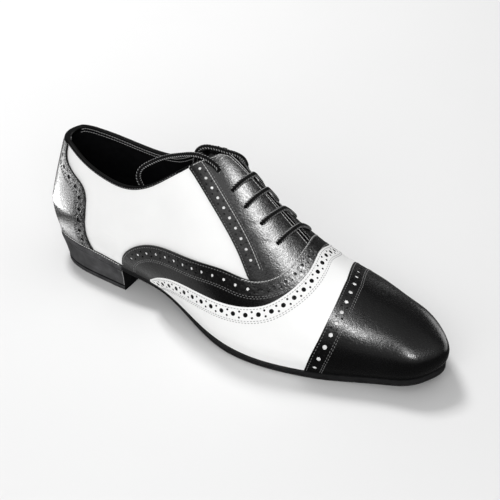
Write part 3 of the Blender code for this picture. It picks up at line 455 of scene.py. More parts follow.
class Last:
    """The foot form, sampled on a fine grid. A place on it is (along, across) in the flat pattern:
    along the lateral feather line from the heel, and across from the ridge, lateral side negative."""

    def __init__(self, sizes):
        percent = sizes.last_length / 100
        self.sizes = sizes
        self.height = column(RIDGE, "height", percent)
        self.sway = column(RIDGE, "sway", percent)
        pulls = ("side_pull", "lateral_crown", "medial_crown")
        self.pulls = [column(RIDGE, name, percent) for name in pulls]
        self.bulges = [column(BULGE, name, percent) for name in ("lateral", "medial", "height")]
        self.shares = [column(FEATHER, name, percent) for name in ("heel_share", "toe_share")]
        self.outline = self.make_outline()
        around = np.linspace(0.0, 1.0, AROUND_STEPS + 1)
        reaches, heights, length, ridge, out, slope = self.walls(around)
        share = np.linspace(0.0, 1.0, GIRTH_STEPS + 1)
        self.points = np.empty((len(around), len(share), 3))
        for i in range(len(around)):
            walk = share * length[i, -1]
            reach = np.interp(walk, length[i], reaches[i])
            self.points[i, :, :2] = ridge[i] + out[i] * reach[:, None]
            self.points[i, :, 2] = np.interp(walk, length[i], heights[i])
        self.girth = length[:, -1]
        self.around = around
        self.normals = self.make_normals(share, slope)
        half = AROUND_STEPS // 2
        self.share = around[:half + 1]
        self.lateral_x = self.points[:half + 1, 0, 0]
        self.medial_x = self.points[::-1][:half + 1, 0, 0]
        self.length = run_length(self.points[:half + 1, 0])[-1]
        self.creases = self.make_creases()

    def make_outline(self):
        """Closed feather line, from the heel along the lateral side to the toe and back."""
        along, half = self.sizes.last_length / 100, self.sizes.ball_width / 100
        lateral = [(row.along * along, -row.lateral * half) for row in OUTLINE]
        medial = [(row.along * along, row.medial * half) for row in OUTLINE]
        loop = [(0.0, HEEL_TIP_SWAY)] + lateral + [(self.sizes.last_length, TOE_TIP_SWAY)] + medial[::-1]
        loop = np.array(loop)
        chord = np.linalg.norm(np.roll(loop, -1, 0) - loop, axis=1)
        knots = np.concatenate([[0.0], np.cumsum(np.tile(chord, 3))])
        at = natural_spline(knots, np.vstack([loop, loop, loop, loop[:1]]))
        toe = chord[:len(lateral) + 1].sum() / chord.sum()

        def outline(share):
            share = np.mod(share, 1.0)
            first = share / 0.5 * toe
            second = toe + (share - 0.5) / 0.5 * (1.0 - toe)
            return at(chord.sum() * (1.0 + np.where(share < 0.5, first, second)))

        return outline

    def feather(self, x):
        x = np.clip(x, 0.0, self.sizes.last_length)
        rise = self.sizes.heel_rise * self.shares[0](x) + self.sizes.toe_spring * self.shares[1](x)
        return self.sizes.forefoot_height + rise

    def walls(self, around):
        """Sampled walls: reach from the ridge, height, length walked, ridge point, direction and slope."""
        foot = self.outline(around)
        x = np.clip(foot[:, 0], 0.0, self.sizes.last_length)
        ridge_x = soft_clamp(foot[:, 0], HEEL_POLE, TOE_POLE, POLE_SOFTNESS)
        ridge = np.stack([ridge_x, self.sway(ridge_x)], axis=1)
        reach = np.linalg.norm(foot - ridge, axis=1)
        out = (foot - ridge) / reach[:, None]
        lateral = np.clip(0.5 - 0.5 * foot[:, 1] / SIDE_BLEND, 0.0, 1.0)
        lateral = lateral * lateral * (3.0 - 2.0 * lateral)
        bulge = self.bulges[0](x) * lateral + self.bulges[1](x) * (1.0 - lateral)
        low = self.feather(x)
        wide = low + self.bulges[2](x)
        percent = self.sizes.instep_height / 100
        top = self.height(ridge_x) * percent
        slope = (self.height(ridge_x + 0.5) - self.height(ridge_x - 0.5)) * percent
        most = (reach + bulge)[:, None]
        rise = np.linspace(0.0, 1.0, 81)[None, :]
        reach_low = most - bulge[:, None] * (1.0 - rise) ** 2
        height_low = low[:, None] + (wide - low)[:, None] * rise
        t = np.linspace(0.0, 1.0, 241)[None, 1:]
        crown = self.pulls[1](ridge_x) * lateral + self.pulls[2](ridge_x) * (1.0 - lateral)
        crown = crown[:, None] * most
        handle = wide + self.pulls[0](ridge_x) * (top - wide)
        crown_z = top[:, None] + crown * (slope * out[:, 0])[:, None]
        weights = (1 - t) ** 3, 3 * t * (1 - t) ** 2, 3 * t * t * (1 - t), t ** 3
        reach_up = (weights[0] + weights[1]) * most + weights[2] * crown
        height_up = weights[0] * wide[:, None] + weights[1] * handle[:, None]
        height_up = height_up + weights[2] * crown_z + weights[3] * top[:, None]
        reaches = np.hstack([reach_low, reach_up])
        heights = np.hstack([height_low, height_up])
        length = np.hypot(np.diff(reaches, axis=1), np.diff(heights, axis=1)).cumsum(axis=1)
        length = np.hstack([np.zeros((len(foot), 1)), length])
        return reaches, heights, length, ridge, out, slope

    def make_normals(self, share, slope):
        """Outward normals of the grid, level at the feather line and shared by both sides at the ridge."""
        loop = self.points[:-1]
        forward = np.roll(loop, -1, 0) - np.roll(loop, 1, 0)
        forward = np.concatenate([forward, forward[:1]])
        normal = np.cross(forward, np.gradient(self.points, axis=1))
        level = np.minimum(1.0, share / 0.08)[None, :]
        normal[..., 2] *= level * level
        normal = unit(normal)
        normal[:, -1] = unit(np.stack([-slope, np.zeros_like(slope), np.ones_like(slope)], axis=1))
        return normal

    def make_creases(self):
        """Middle, direction, half length, width and depth of each crease, in the flat pattern."""
        rows = []
        for row in CREASES:
            middle = self.pattern(row.x, row.girth, row.side)
            turn = math.radians(row.turn)
            rows.append((middle, (math.cos(turn), math.sin(turn)), row.half_length, row.width, row.depth))
        return rows

    def pattern(self, x, girth, side):
        """Place in the flat pattern of a distance along the foot and a share of the girth."""
        along = np.interp(x, self.lateral_x, self.share) * 2.0 * self.length
        across = (1.0 - np.asarray(girth, float)) * GIRTH_SCALE
        return np.stack(np.broadcast_arrays(along, -across if side == "lateral" else across), axis=-1)

    def locate(self, places):
        share = np.clip(places[..., 0] / self.length, 0.0, 1.0) * 0.5
        x = np.interp(share, self.share, self.lateral_x)
        medial = 1.0 - np.interp(x, self.medial_x, self.share)
        around = np.where(places[..., 1] > 0.0, medial, share)
        return around, np.clip(1.0 - np.abs(places[..., 1]) / GIRTH_SCALE, 0.0, 1.0)

    def read(self, grid, places):
        """Values of a grid at places of the pattern, between its points."""
        around, girth = self.locate(places)
        row, col = around * AROUND_STEPS, girth * GIRTH_STEPS
        i = np.clip(row.astype(int), 0, AROUND_STEPS - 1)
        j = np.clip(col.astype(int), 0, GIRTH_STEPS - 1)
        u, v = (row - i)[..., None], (col - j)[..., None]
        low = grid[i, j] * (1 - u) + grid[i + 1, j] * u
        high = grid[i, j + 1] * (1 - u) + grid[i + 1, j + 1] * u
        return low * (1 - v) + high * v

    def crease(self, places):
        """How far the creases move the leather in or out."""
        lift = np.zeros(places.shape[:-1])
        for middle, (run, climb), half_length, width, depth in self.creases:
            off = places - middle
            u = off[..., 0] * run + off[..., 1] * climb
            v = off[..., 1] * run - off[..., 0] * climb
            lift -= depth * np.exp(-(u / half_length) ** 2 - (v / width) ** 2)
        return lift

    def slopes(self, places):
        """How a point on the bare wall moves with along and with across."""
        step = 0.6
        along = np.array([step, 0.0])
        across = np.array([0.0, step])
        low, high = (step, step - GIRTH_SCALE), (self.length - step, GIRTH_SCALE - step)
        places = np.clip(places, low, high)
        first = self.read(self.points, places + along) - self.read(self.points, places - along)
        second = self.read(self.points, places + across) - self.read(self.points, places - across)
        return first / (2 * step), second / (2 * step)

    def surface(self, places, lift):
        """Points and normals of the creased leather at places of the pattern."""
        places = np.asarray(places, float)
        normal = unit(self.read(self.normals, places))
        fold = self.crease(places)
        points = self.read(self.points, places) + normal * (np.asarray(lift) + fold)[..., None]
        step = np.array([0.3, 0.0])
        along = (self.crease(places + step) - self.crease(places - step)) / 0.6
        across = (self.crease(places + step[::-1]) - self.crease(places - step[::-1])) / 0.6
        bent = np.abs(along) + np.abs(across) > 1e-4
        if bent.any():
            first, second = self.slopes(places[bent])
            first = first + normal[bent] * along[bent][:, None]
            second = second + normal[bent] * across[bent][:, None]
            normal[bent] = unit(np.cross(first, second))
        return points, normal

    def shift(self, places, moves):
        """Steps in the pattern that make moves along the wall."""
        first, second = self.slopes(places)
        a, b, c = (first * first).sum(-1), (first * second).sum(-1), (second * second).sum(-1)
        p, q = (first * moves).sum(-1), (second * moves).sum(-1)
        room = a * c - b * b
        return np.stack([(p * c - q * b) / room, (q * a - p * b) / room], axis=-1)

    def inset(self, curve, distance):
        """A line of places moved to the left of its run by a distance on the wall."""
        for _ in range(4):
            points, normal = self.read(self.points, curve), self.read(self.normals, curve)
            left = unit(np.cross(normal, np.gradient(points, axis=0)))
            curve = curve + self.shift(curve, left * distance / 4)
        return curve

    def walk(self, curve, pitch, first=0.0, last=0.0, beside=None):
        """Places a pitch apart along a line, or on one beside it, with a length left free at each end."""
        length = run_length(self.read(self.points, curve))
        stops = np.arange(first, length[-1] - last + 1e-6, pitch)
        line = curve if beside is None else beside
        return np.stack([np.interp(stops, length, line[:, k]) for k in (0, 1)], axis=-1)

    def ring(self, place, radius, count):
        """Places on a round ring about a place."""
        place = np.repeat(np.asarray(place, float)[None], count, axis=0)
        first, _ = self.slopes(place)
        east = unit(first)
        north = np.cross(unit(self.read(self.normals, place)), east)
        turn = np.linspace(0.0, 2.0 * math.pi, count, endpoint=False)[:, None]
        return place + self.shift(place, radius * (np.cos(turn) * east + np.sin(turn) * north))

    def around_at(self, x, side):
        share = np.interp(x, self.lateral_x if side == "lateral" else self.medial_x, self.share)
        return share if side == "lateral" else 1.0 - share

    def girth_length(self, x, side):
        return np.interp(self.around_at(x, side), self.around, self.girth)

    def from_ridge(self, x, distance, side):
        """Place at a distance from the ridge, measured on the wall."""
        return self.pattern(x, 1.0 - distance / self.girth_length(x, side), side)

    def from_top(self, x, distance, side):
        """Place at a distance below the top line or the slit."""
        return self.pattern(x, self.top_edge(x, side) - distance / self.girth_length(x, side), side)

    def top_edge(self, x, side):
        """Share of the girth at the top line, then at the edge of the lacing slit, then at the ridge."""
        x = np.atleast_1d(np.asarray(x, float))
        reach = LATERAL_SLIT if side == "lateral" else self.sizes.slit - LATERAL_SLIT
        slit = 1.0 - reach / self.girth_length(x, side)
        rows = np.round(self.around_at(x, side) * AROUND_STEPS).astype(int)
        share = np.linspace(0.0, 1.0, GIRTH_STEPS + 1)
        height = column(COLLAR, side)(np.clip(x, COLLAR[0].x, COLLAR[-1].x))
        climb = [np.maximum.accumulate(self.points[i, :, 2]) for i in rows]
        collar = np.array([np.interp(z, h, share) for z, h in zip(height, climb)])
        arch = 1.0 - THROAT_DROP * (np.maximum(THROAT_END - x, 0.0) / THROAT_REACH) ** 1.6
        collar = np.where(x > COLLAR[-1].x, 1.0, collar)
        edge = np.minimum(np.minimum(slit, collar), np.where(x > BINDING_END, arch, 1.0))
        return np.where(x >= SLIT_END, 1.0, edge)


KEPT = {}


def in_mm(group):
    """The sizes of a property group in millimetres."""
    return SimpleNamespace(**{name: getattr(group, name) / MM for name in group.__annotations__})


def last_of(context):
    """The last for the scene's sizes, worked out once."""
    sizes = in_mm(context.scene.shoe_sizes)
    key = tuple(vars(sizes).values())
    if key not in KEPT:
        KEPT[key] = Last(sizes)
    return KEPT[key]


def smooth_edge(last, rows, side, count=160):
    """Smooth line through the rows of an edge, as places of the pattern. The medial side is set back."""
    points = np.array([(row.x, row.girth) for row in rows])
    if side == "medial":
        points[:, 0] -= MEDIAL_SETBACK * np.tanh((1.0 - points[:, 1]) / MEDIAL_TURN)
    points = smooth_path(points, count, (1.0, GIRTH_SCALE))
    return last.pattern(points[:, 0], np.clip(points[:, 1], 0.0, 1.0), side)


def cap_line(last, side, ahead=0.0, count=120):
    """Edge of the toe cap, from the sole to the ridge."""
    share = np.linspace(SOLE_LINE, 1.0, count)
    return last.pattern(column(CAP_EDGE, side)(share) + ahead, share, side)


def sole_line(last, start, end, side, count=120):
    """Line just above the sole between two distances along the foot."""
    first = last.pattern(start, SOLE_LINE, side)
    final = last.pattern(end, SOLE_LINE, side)
    return first + np.linspace(0.0, 1.0, count)[:, None] * (final - first)


def joined(*lines):
    """One closed loop from lines that follow each other."""
    return np.vstack(lines)


def evenly(loop, step):
    """The loop with points about a step apart, its corners kept."""
    ends = np.vstack([loop, loop[:1]])
    turn = np.diff(ends, axis=0)
    heading = np.arctan2(turn[:, 1], turn[:, 0])
    bend = np.abs((heading - np.roll(heading, 1) + math.pi) % (2 * math.pi) - math.pi)
    length = run_length(ends)
    corners = np.append(length[:-1][bend > 0.5], length[-1])
    corners = np.unique(np.insert(corners, 0, 0.0))
    stops = []
    for low, high in zip(corners, corners[1:]):
        count = max(1, int(round((high - low) / step)))
        stops.append(np.linspace(low, high, count, endpoint=False))
    stops = np.concatenate(stops)
    return np.stack([np.interp(stops, length, ends[:, k]) for k in (0, 1)], axis=-1)


def turned(loop, leftwards):
    """The loop, run so that its inside lies to the left, or to the right."""
    x, y = loop.T
    area = np.sum(x * np.roll(y, -1) - np.roll(x, -1) * y)
    return loop if (area > 0) == leftwards else loop[::-1]


def inside(points, loop):
    """Which points lie inside a closed loop."""
    ax, ay = loop.T
    bx, by = np.roll(ax, -1), np.roll(ay, -1)
    slope = (bx - ax) / np.where(by == ay, 1e-12, by - ay)
    found = []
    for part in np.array_split(points, max(1, len(points) // 2000)):
        x, y = part[:, :1], part[:, 1:]
        crossed = ((ay > y) != (by > y)) & (x < ax + (y - ay) * slope)
        found.append(crossed.sum(axis=1) % 2 == 1)
    return np.concatenate(found)


class Pile:
    """Points, normals and faces of a piece while it is put together."""

    def __init__(self):
        self.points, self.normals, self.faces, self.slots = [], [], [], []
        self.count = 0

    def add(self, points, normals):
        points = np.asarray(points, float).reshape(-1, 3)
        self.points.append(points)
        self.normals.append(np.asarray(normals, float).reshape(-1, 3))
        first = self.count
        self.count += len(points)
        return first

    def face(self, faces, slot=0):
        faces = np.asarray(faces, int)
        self.faces += faces.tolist()
        self.slots += [slot] * len(faces)

    def grid(self, points, normals, slot=0):
        """A grid of points, its faces turned the way of its normals."""
        rows, cols = points.shape[:2]
        index = self.add(points, normals) + np.arange(rows * cols).reshape(rows, cols)
        faces = np.stack([index[:-1, :-1], index[1:, :-1], index[1:, 1:], index[:-1, 1:]], axis=-1)
        middle = rows // 2, cols // 2
        side = points[middle] - points[middle[0] - 1, middle[1]]
        climb = points[middle] - points[middle[0], middle[1] - 1]
        if np.cross(side, climb) @ normals[middle] < 0:
            faces = faces[..., ::-1]
        self.face(faces.reshape(-1, 4), slot)
        return index

    def mesh(self, name, materials):
        mesh = bpy.data.meshes.new(name)
        points = (np.vstack(self.points) - ORIGIN_ON_LAST) * MM
        mesh.from_pydata(points.tolist(), [], self.faces)
        for material in materials:
            mesh.materials.append(material)
        mesh.polygons.foreach_set("material_index", self.slots)
        mesh.shade_smooth()
        mesh.normals_split_custom_set_from_vertices(unit(np.vstack(self.normals)).tolist())
        mesh.update()
        return mesh


def light_group(name):
    """The pieces that a soft box shines on, or that cast its shadow."""
    return bpy.data.collections.get(name) or bpy.data.collections.new(name)


def place_piece(name, data, slot, *nodes):
    """Link a piece, hang it on the shoe's body and let it stand for its CAD nodes."""
    piece = bpy.data.objects.new(name, data)
    bpy.context.scene.collection.objects.link(piece)
    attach(piece, BODY)
    if nodes:
        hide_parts(*nodes)
    if set(nodes) & set(KEY_SHADOW):
        light_group("key_shadow").objects.link(piece)
    for row in LIGHTS:
        if set(nodes) & set(row.shines_on):
            light_group(row.name).objects.link(piece)
    return piece


def rim(pile, points, normals, section, skip, slot=0):
    """Rounded wall down the edge of a loop of points, and its lowest ring."""
    along = np.roll(points, -1, 0) - np.roll(points, 1, 0)
    out = unit(np.cross(along, normals))
    count = len(points)
    above = pile.add(points, normals) + np.arange(count)
    after = np.roll(np.arange(count), -1)
    kept = ~(skip & skip[after])
    for row in section:
        ring = points + out * row.out - normals * row.down
        lean = normals * (1.0 - row.lean) + out * row.lean
        below = pile.add(ring, lean) + np.arange(count)
        faces = np.stack([above, below, below[after], above[after]], axis=-1)
        pile.face(faces[kept], slot)
        above = below
    return ring


def close_to(places, line, width):
    """Which places lie within a width of a line of the pattern."""
    tree = KDTree(len(line))
    for i, (x, y) in enumerate(line):
        tree.insert((x, y, 0.0), i)
    tree.balance()
    return np.array([tree.find((x, y, 0.0))[2] < width for x, y in places], bool)


def near_inside(points, loop):
    """Which points lie inside a small loop, testing only those close to it."""
    low, high = loop.min(axis=0), loop.max(axis=0)
    close = np.all((points > low) & (points < high), axis=1)
    found = np.zeros(len(points), bool)
    if close.any():
        found[close] = inside(points[close], loop)
    return found


def cut_leather(pile, last, outline, holes, lift, step, border=None):
    """Leather cut to an outline of the pattern, with holes through it and a backing in each hole.
    Along a border line, within its width, the leather takes the border slot."""
    outline = turned(evenly(outline, step * 0.6), True)
    loops = [outline]
    fitting = []
    for hole in holes:
        if inside(last.ring(hole[0], hole[1] + 0.7, 12), outline).all():
            fitting.append(hole)
            loops.append(turned(last.ring(hole[0], hole[1], 20 if hole[1] > 0.8 else 10), False))
    rims = np.vstack(loops)
    low, high = outline.min(axis=0), outline.max(axis=0)
    spread = np.meshgrid(*[np.arange(a + step / 2, b, step) for a, b in zip(low, high)], indexing="ij")
    lattice = np.stack(spread, axis=-1).reshape(-1, 2)
    lattice = lattice[inside(lattice, outline)]
    lattice = lattice[~close_to(lattice, rims, step * 0.5)]
    for loop in loops[1:]:
        lattice = lattice[~near_inside(lattice, loop)]
    verts = [Vector(place) for place in np.vstack([rims, lattice])]
    edges = []
    first = 0
    for loop in loops:
        count = len(loop)
        edges += [(first + i, first + (i + 1) % count) for i in range(count)]
        first += count
    found = delaunay_2d_cdt(verts, edges, [], 0, 1e-5)
    places = np.array([tuple(vert) for vert in found[0]])
    faces = np.array([face for face in found[2] if len(face) == 3])
    middles = places[faces].mean(axis=1)
    keep = inside(middles, outline)
    for loop in loops[1:]:
        keep &= ~near_inside(middles, loop)
    faces = faces[keep]
    a, b, c = (places[faces[:, k]] for k in range(3))
    area = (b - a)[:, 0] * (c - a)[:, 1] - (b - a)[:, 1] * (c - a)[:, 0]
    faces[area < 0] = faces[area < 0][:, ::-1]
    points, normals = last.surface(places, lift)
    base = pile.add(points, normals)
    rough = close_to(places[faces].mean(axis=1), *border) if border else np.zeros(len(faces), bool)
    pile.face(base + faces[~rough])
    pile.face(base + faces[rough], GRAINED)
    points, normals = last.surface(outline, lift)
    seam = (outline[:, 0] < 0.02) | (outline[:, 0] > last.length - 0.02)
    rim(pile, points, normals, PANEL_RIM, seam)
    for loop, (place, radius, backing) in zip(loops[1:], fitting):
        points, normals = last.surface(loop, lift)
        never = np.zeros(len(loop), bool)
        wall = backing if backing == BLACK_BACKING else 0
        ring = rim(pile, points, normals, HOLE_RIM, never, wall)
        swell = normals.mean(axis=0)
        start = pile.add(ring, normals)
        top = pile.add(ring.mean(axis=0) + swell * min(0.22, radius * 0.2), swell)
        index = start + np.arange(len(loop))
        pile.face(np.stack([np.roll(index, -1), index, np.full(len(loop), top)], axis=-1), backing)


def perforations(last, edge, row, size, backing_at):
    """A row of large holes along an edge with pairs of small ones between them."""
    middle = last.inset(edge, row.inset)
    pitch = row.pitch or last.sizes.hole_pitch
    large = last.walk(middle, pitch, row.first, row.final)
    holes = [(place, size / 2, backing_at(place)) for place in large]
    for across in (SMALL_HOLES_BESIDE, -SMALL_HOLES_BESIDE):
        line = last.inset(middle, across)
        for place in last.walk(middle, pitch, row.first + 0.5 * pitch, row.final, line):
            holes.append((place, last.sizes.small_hole / 2, BLACK_BACKING))
    return holes


def stitches(pile, last, line, lift, share_sewn=None, inwards=False):
    """Stitches along a line of the pattern, each a short arched thread that dives into the leather."""
    sizes = last.sizes
    starts = last.walk(line, sizes.stitch_pitch, 0.8, 1.5)
    starts = starts[np.abs(starts[:, 1]) < GIRTH_SCALE * (1.0 - 3.0 * SOLE_LINE)]
    if len(starts) < 3:
        return
    reach = sizes.stitch_pitch * share_sewn if share_sewn else sizes.stitch
    points, normals = last.surface(starts, lift)
    normals = -normals if inwards else normals
    along = unit(np.gradient(points, axis=0))
    across = np.cross(normals, along)
    radius = sizes.thread / 2
    share = np.array([0.0, 0.14, 0.5, 0.86, 1.0])
    girth = np.array([0.45, 0.9, 1.0, 0.9, 0.45])
    rise = np.array([-0.9, 0.15, 0.6, 0.15, -0.9])
    sides = 6
    turn = np.arange(sides) * 2.0 * math.pi / sides
    round_up = np.cos(turn)[:, None, None] * across + np.sin(turn)[:, None, None] * normals
    rings = []
    for s, g, r in zip(share, girth, rise):
        middle = points + along * (s * reach) + normals * (r * radius)
        rings.append(middle + round_up * g * radius)
    rings = np.array(rings).transpose(2, 0, 1, 3)
    leans = np.broadcast_to(round_up.transpose(1, 0, 2)[:, None], rings.shape)
    count = len(starts)
    index = pile.add(rings, leans) + np.arange(rings[..., 0].size).reshape(rings.shape[:3])
    after = np.roll(index, -1, axis=2)
    faces = np.stack([index[:, :-1], after[:, :-1], after[:, 1:], index[:, 1:]], axis=-1)
    pile.face(faces.reshape(-1, 4))
    for end in (index[:, 0, ::-1], index[:, -1]):
        pile.face(end.reshape(count, sides))


def node(tree, kind, **settings):
    """A shader node with its settings and the constant values of its sockets."""
    made = tree.nodes.new(kind)
    for name, value in settings.items():
        if hasattr(made, name):
            setattr(made, name, value)
        else:
            made.inputs[name.replace("_", " ").title()].default_value = value
    return made


def new_finish(name):
    """An empty material with its Principled shader and object coordinates."""
    material = bpy.data.materials.new(name)
    material.use_nodes = True
    tree = material.node_tree
    shader = tree.nodes["Principled BSDF"]
    coords = tree.nodes.new("ShaderNodeTexCoord")
    return material, tree, shader, coords.outputs["Object"]


def noise_at(tree, place, scale, detail):
    """Soft noise with a number of waves in a metre."""
    noise = node(tree, "ShaderNodeTexNoise", scale=scale, detail=detail)
    tree.links.new(place, noise.inputs["Vector"])
    return noise.outputs["Fac"]


def mapped(tree, value, limits, **settings):
    """A value spread from its lowest and highest to a new lowest and highest."""
    ramp = node(tree, "ShaderNodeMapRange", **settings)
    for socket, limit in zip(("From Min", "From Max", "To Min", "To Max"), limits):
        ramp.inputs[socket].default_value = limit
    tree.links.new(value, ramp.inputs["Value"])
    return ramp.outputs["Result"]


def colours_of(sockets):
    """The colour sockets among those of a mix node."""
    return [socket for socket in sockets if socket.type == "RGBA"]


def noise_between(tree, place, scale, low, high, detail=4.0):
    """Soft noise spread between two values."""
    return mapped(tree, noise_at(tree, place, scale, detail), (0.3, 0.7, low, high))


def mottled(tree, place, colour, scale, change):
    """The colour, a little lighter and darker in soft patches."""
    mix = node(tree, "ShaderNodeMix", data_type="RGBA")
    a, b = colours_of(mix.inputs)[:2]
    a.default_value = (*[max(0.0, c * (1.0 - change)) for c in colour], 1.0)
    b.default_value = (*[min(1.0, c * (1.0 + change)) for c in colour], 1.0)
    tree.links.new(noise_between(tree, place, scale, 0.0, 1.0), mix.inputs["Factor"])
    return colours_of(mix.outputs)[0]


def bumped(tree, height, depth, shader, before=None):
    """A bump of a real depth in metres."""
    bump = node(tree, "ShaderNodeBump", strength=1.0, distance=depth)
    tree.links.new(height, bump.inputs["Height"])
    if before:
        tree.links.new(before.outputs["Normal"], bump.inputs["Normal"])
    tree.links.new(bump.outputs["Normal"], shader.inputs["Normal"])
    return bump


def leather_finish(row, colour):
    """Calf leather: fine pebbled grain, faint long waves, and patches of more and less gloss."""
    material, tree, shader, place = new_finish(row.name)
    tree.links.new(mottled(tree, place, colour, 60.0, row.mottle), shader.inputs["Base Color"])
    low, high = row.roughness - row.spread, row.roughness + row.spread
    tree.links.new(noise_between(tree, place, row.grain * 0.7, low, high), shader.inputs["Roughness"])
    shader.inputs["Specular IOR Level"].default_value = row.specular
    shader.inputs["Coat Weight"].default_value = row.coat
    shader.inputs["Coat Roughness"].default_value = row.coat_roughness
    cells = node(tree, "ShaderNodeTexVoronoi", feature="SMOOTH_F1", scale=row.grain)
    tree.links.new(place, cells.inputs["Vector"])
    join = node(tree, "ShaderNodeMath", operation="ADD")
    tree.links.new(cells.outputs["Distance"], join.inputs[0])
    tree.links.new(noise_at(tree, place, row.grain * 0.4, 2.0), join.inputs[1])
    first = bumped(tree, noise_at(tree, place, 90.0, 3.0), row.depth * MM * 3.0, shader)
    bumped(tree, join.outputs["Value"], row.depth * MM, shader, first)
    return material


def fibre_finish(name, colour, roughness, depth, specular=0.3):
    """Matte leather, rubber or lining: loose fibre, its depth in millimetres."""
    material, tree, shader, place = new_finish(name)
    tree.links.new(mottled(tree, place, colour, 220.0, 0.25), shader.inputs["Base Color"])
    gloss = noise_between(tree, place, 300.0, roughness - 0.08, roughness + 0.08)
    tree.links.new(gloss, shader.inputs["Roughness"])
    shader.inputs["Specular IOR Level"].default_value = specular
    bumped(tree, noise_at(tree, place, 1600.0, 5.0), depth * MM, shader)
    return material


def heel_finish(name, colour):
    """Dyed heel leather: level lines of the pressed layers under a satin dressing."""
    material, tree, shader, place = new_finish(name)
    tree.links.new(mottled(tree, place, colour, 130.0, 0.4), shader.inputs["Base Color"])
    tree.links.new(noise_between(tree, place, 180.0, 0.34, 0.5), shader.inputs["Roughness"])
    stretch = node(tree, "ShaderNodeMapping")
    stretch.inputs["Scale"].default_value = (60.0, 60.0, 2200.0)
    tree.links.new(place, stretch.inputs["Vector"])
    bumped(tree, noise_at(tree, stretch.outputs["Vector"], 1.0, 4.0), 0.06 * MM, shader)
    shader.inputs["Coat Weight"].default_value = 0.15
    shader.inputs["Coat Roughness"].default_value = 0.3
    return material


def thread_finish(name, colour):
    """Twisted sewing thread with a faint sheen."""
    material, tree, shader, place = new_finish(name)
    tree.links.new(mottled(tree, place, colour, 900.0, 0.2), shader.inputs["Base Color"])
    tree.links.new(noise_between(tree, place, 2000.0, 0.4, 0.6), shader.inputs["Roughness"])
    shader.inputs["Sheen Weight"].default_value = 0.3
    bumped(tree, noise_at(tree, place, 6000.0, 2.0), 0.03 * MM, shader)
    return material


def lace_finish(name, colour):
    """Waxed braid: slanted strands that meet along the middle of the lace, near black, with pale grey
    flecks on the strands along both edges: painted highlights.
    """
    material, tree, shader, place = new_finish(name)
    coords = [n for n in tree.nodes if n.type == "TEX_COORD"][0]
    parts = node(tree, "ShaderNodeSeparateXYZ")
    tree.links.new(coords.outputs["UV"], parts.inputs["Vector"])
    off = node(tree, "ShaderNodeMath", operation="ABSOLUTE")
    tree.links.new(parts.outputs["Y"], off.inputs[0])
    slant = node(tree, "ShaderNodeMath", operation="MULTIPLY_ADD")
    slant.inputs[1].default_value = 1.1
    tree.links.new(off.outputs["Value"], slant.inputs[0])
    tree.links.new(parts.outputs["X"], slant.inputs[2])
    pace = node(tree, "ShaderNodeMath", operation="MULTIPLY")
    pace.inputs[1].default_value = 2.0 * math.pi / STRAND_PITCH
    tree.links.new(slant.outputs["Value"], pace.inputs[0])
    strands = node(tree, "ShaderNodeMath", operation="SINE")
    tree.links.new(pace.outputs["Value"], strands.inputs[0])
    bumped(tree, strands.outputs["Value"], 0.09 * MM, shader)
    # Pale grey flecks on the strand crests near both edges: painted highlights of the lace's rounded edges
    edge_glint = node(tree, "ShaderNodeMath", operation="MULTIPLY", use_clamp=True)
    edge = mapped(tree, off.outputs["Value"], (0.85, 1.1, 0.0, 1.0), interpolation_type="SMOOTHSTEP")
    tree.links.new(edge, edge_glint.inputs[0])
    tree.links.new(strands.outputs["Value"], edge_glint.inputs[1])
    mix = node(tree, "ShaderNodeMix", data_type="RGBA")
    dark, light = colours_of(mix.inputs)[:2]
    tree.links.new(mottled(tree, place, colour, 400.0, 0.3), dark)
    light.default_value = (0.45, 0.45, 0.45, 1.0)
    tree.links.new(edge_glint.outputs["Value"], mix.inputs["Factor"])
    tree.links.new(colours_of(mix.outputs)[0], shader.inputs["Base Color"])
    tree.links.new(noise_between(tree, place, 700.0, 0.42, 0.58), shader.inputs["Roughness"])
    shader.inputs["Sheen Weight"].default_value = 0.02
    shader.inputs["Specular IOR Level"].default_value = 0.15
    return material


def finishes(context):
    """The materials of the shoe, made once."""
    if "finishes" in KEPT:
        return KEPT["finishes"]
    tint = context.scene.shoe_colours
    made = {row.key: leather_finish(row, getattr(tint, row.colour)) for row in LEATHERS}
    backings = [
        fibre_finish("white_backing", tint.white_leather, 0.6, 0.02),
        fibre_finish("black_backing", tint.lining, 0.7, 0.02)]
    made = SimpleNamespace(
        **made,
        backings=backings,
        lining=fibre_finish("black_lining", tint.lining, 0.8, 0.03, 0.15),
        sole=fibre_finish("sole_leather", tint.sole, 0.55, 0.04),
        heel=heel_finish("heel_leather", tint.heel),
        rubber=fibre_finish("heel_rubber", tint.rubber, 0.7, 0.03),
        lace=lace_finish("waxed_lace", tint.lace),
        dark_thread=thread_finish("thread_on_black", tint.dark_thread),
        bright_thread=thread_finish("thread_on_facing", tint.bright_thread),
        light_thread=thread_finish("thread_on_white", tint.light_thread))
    KEPT["finishes"] = made
    return made


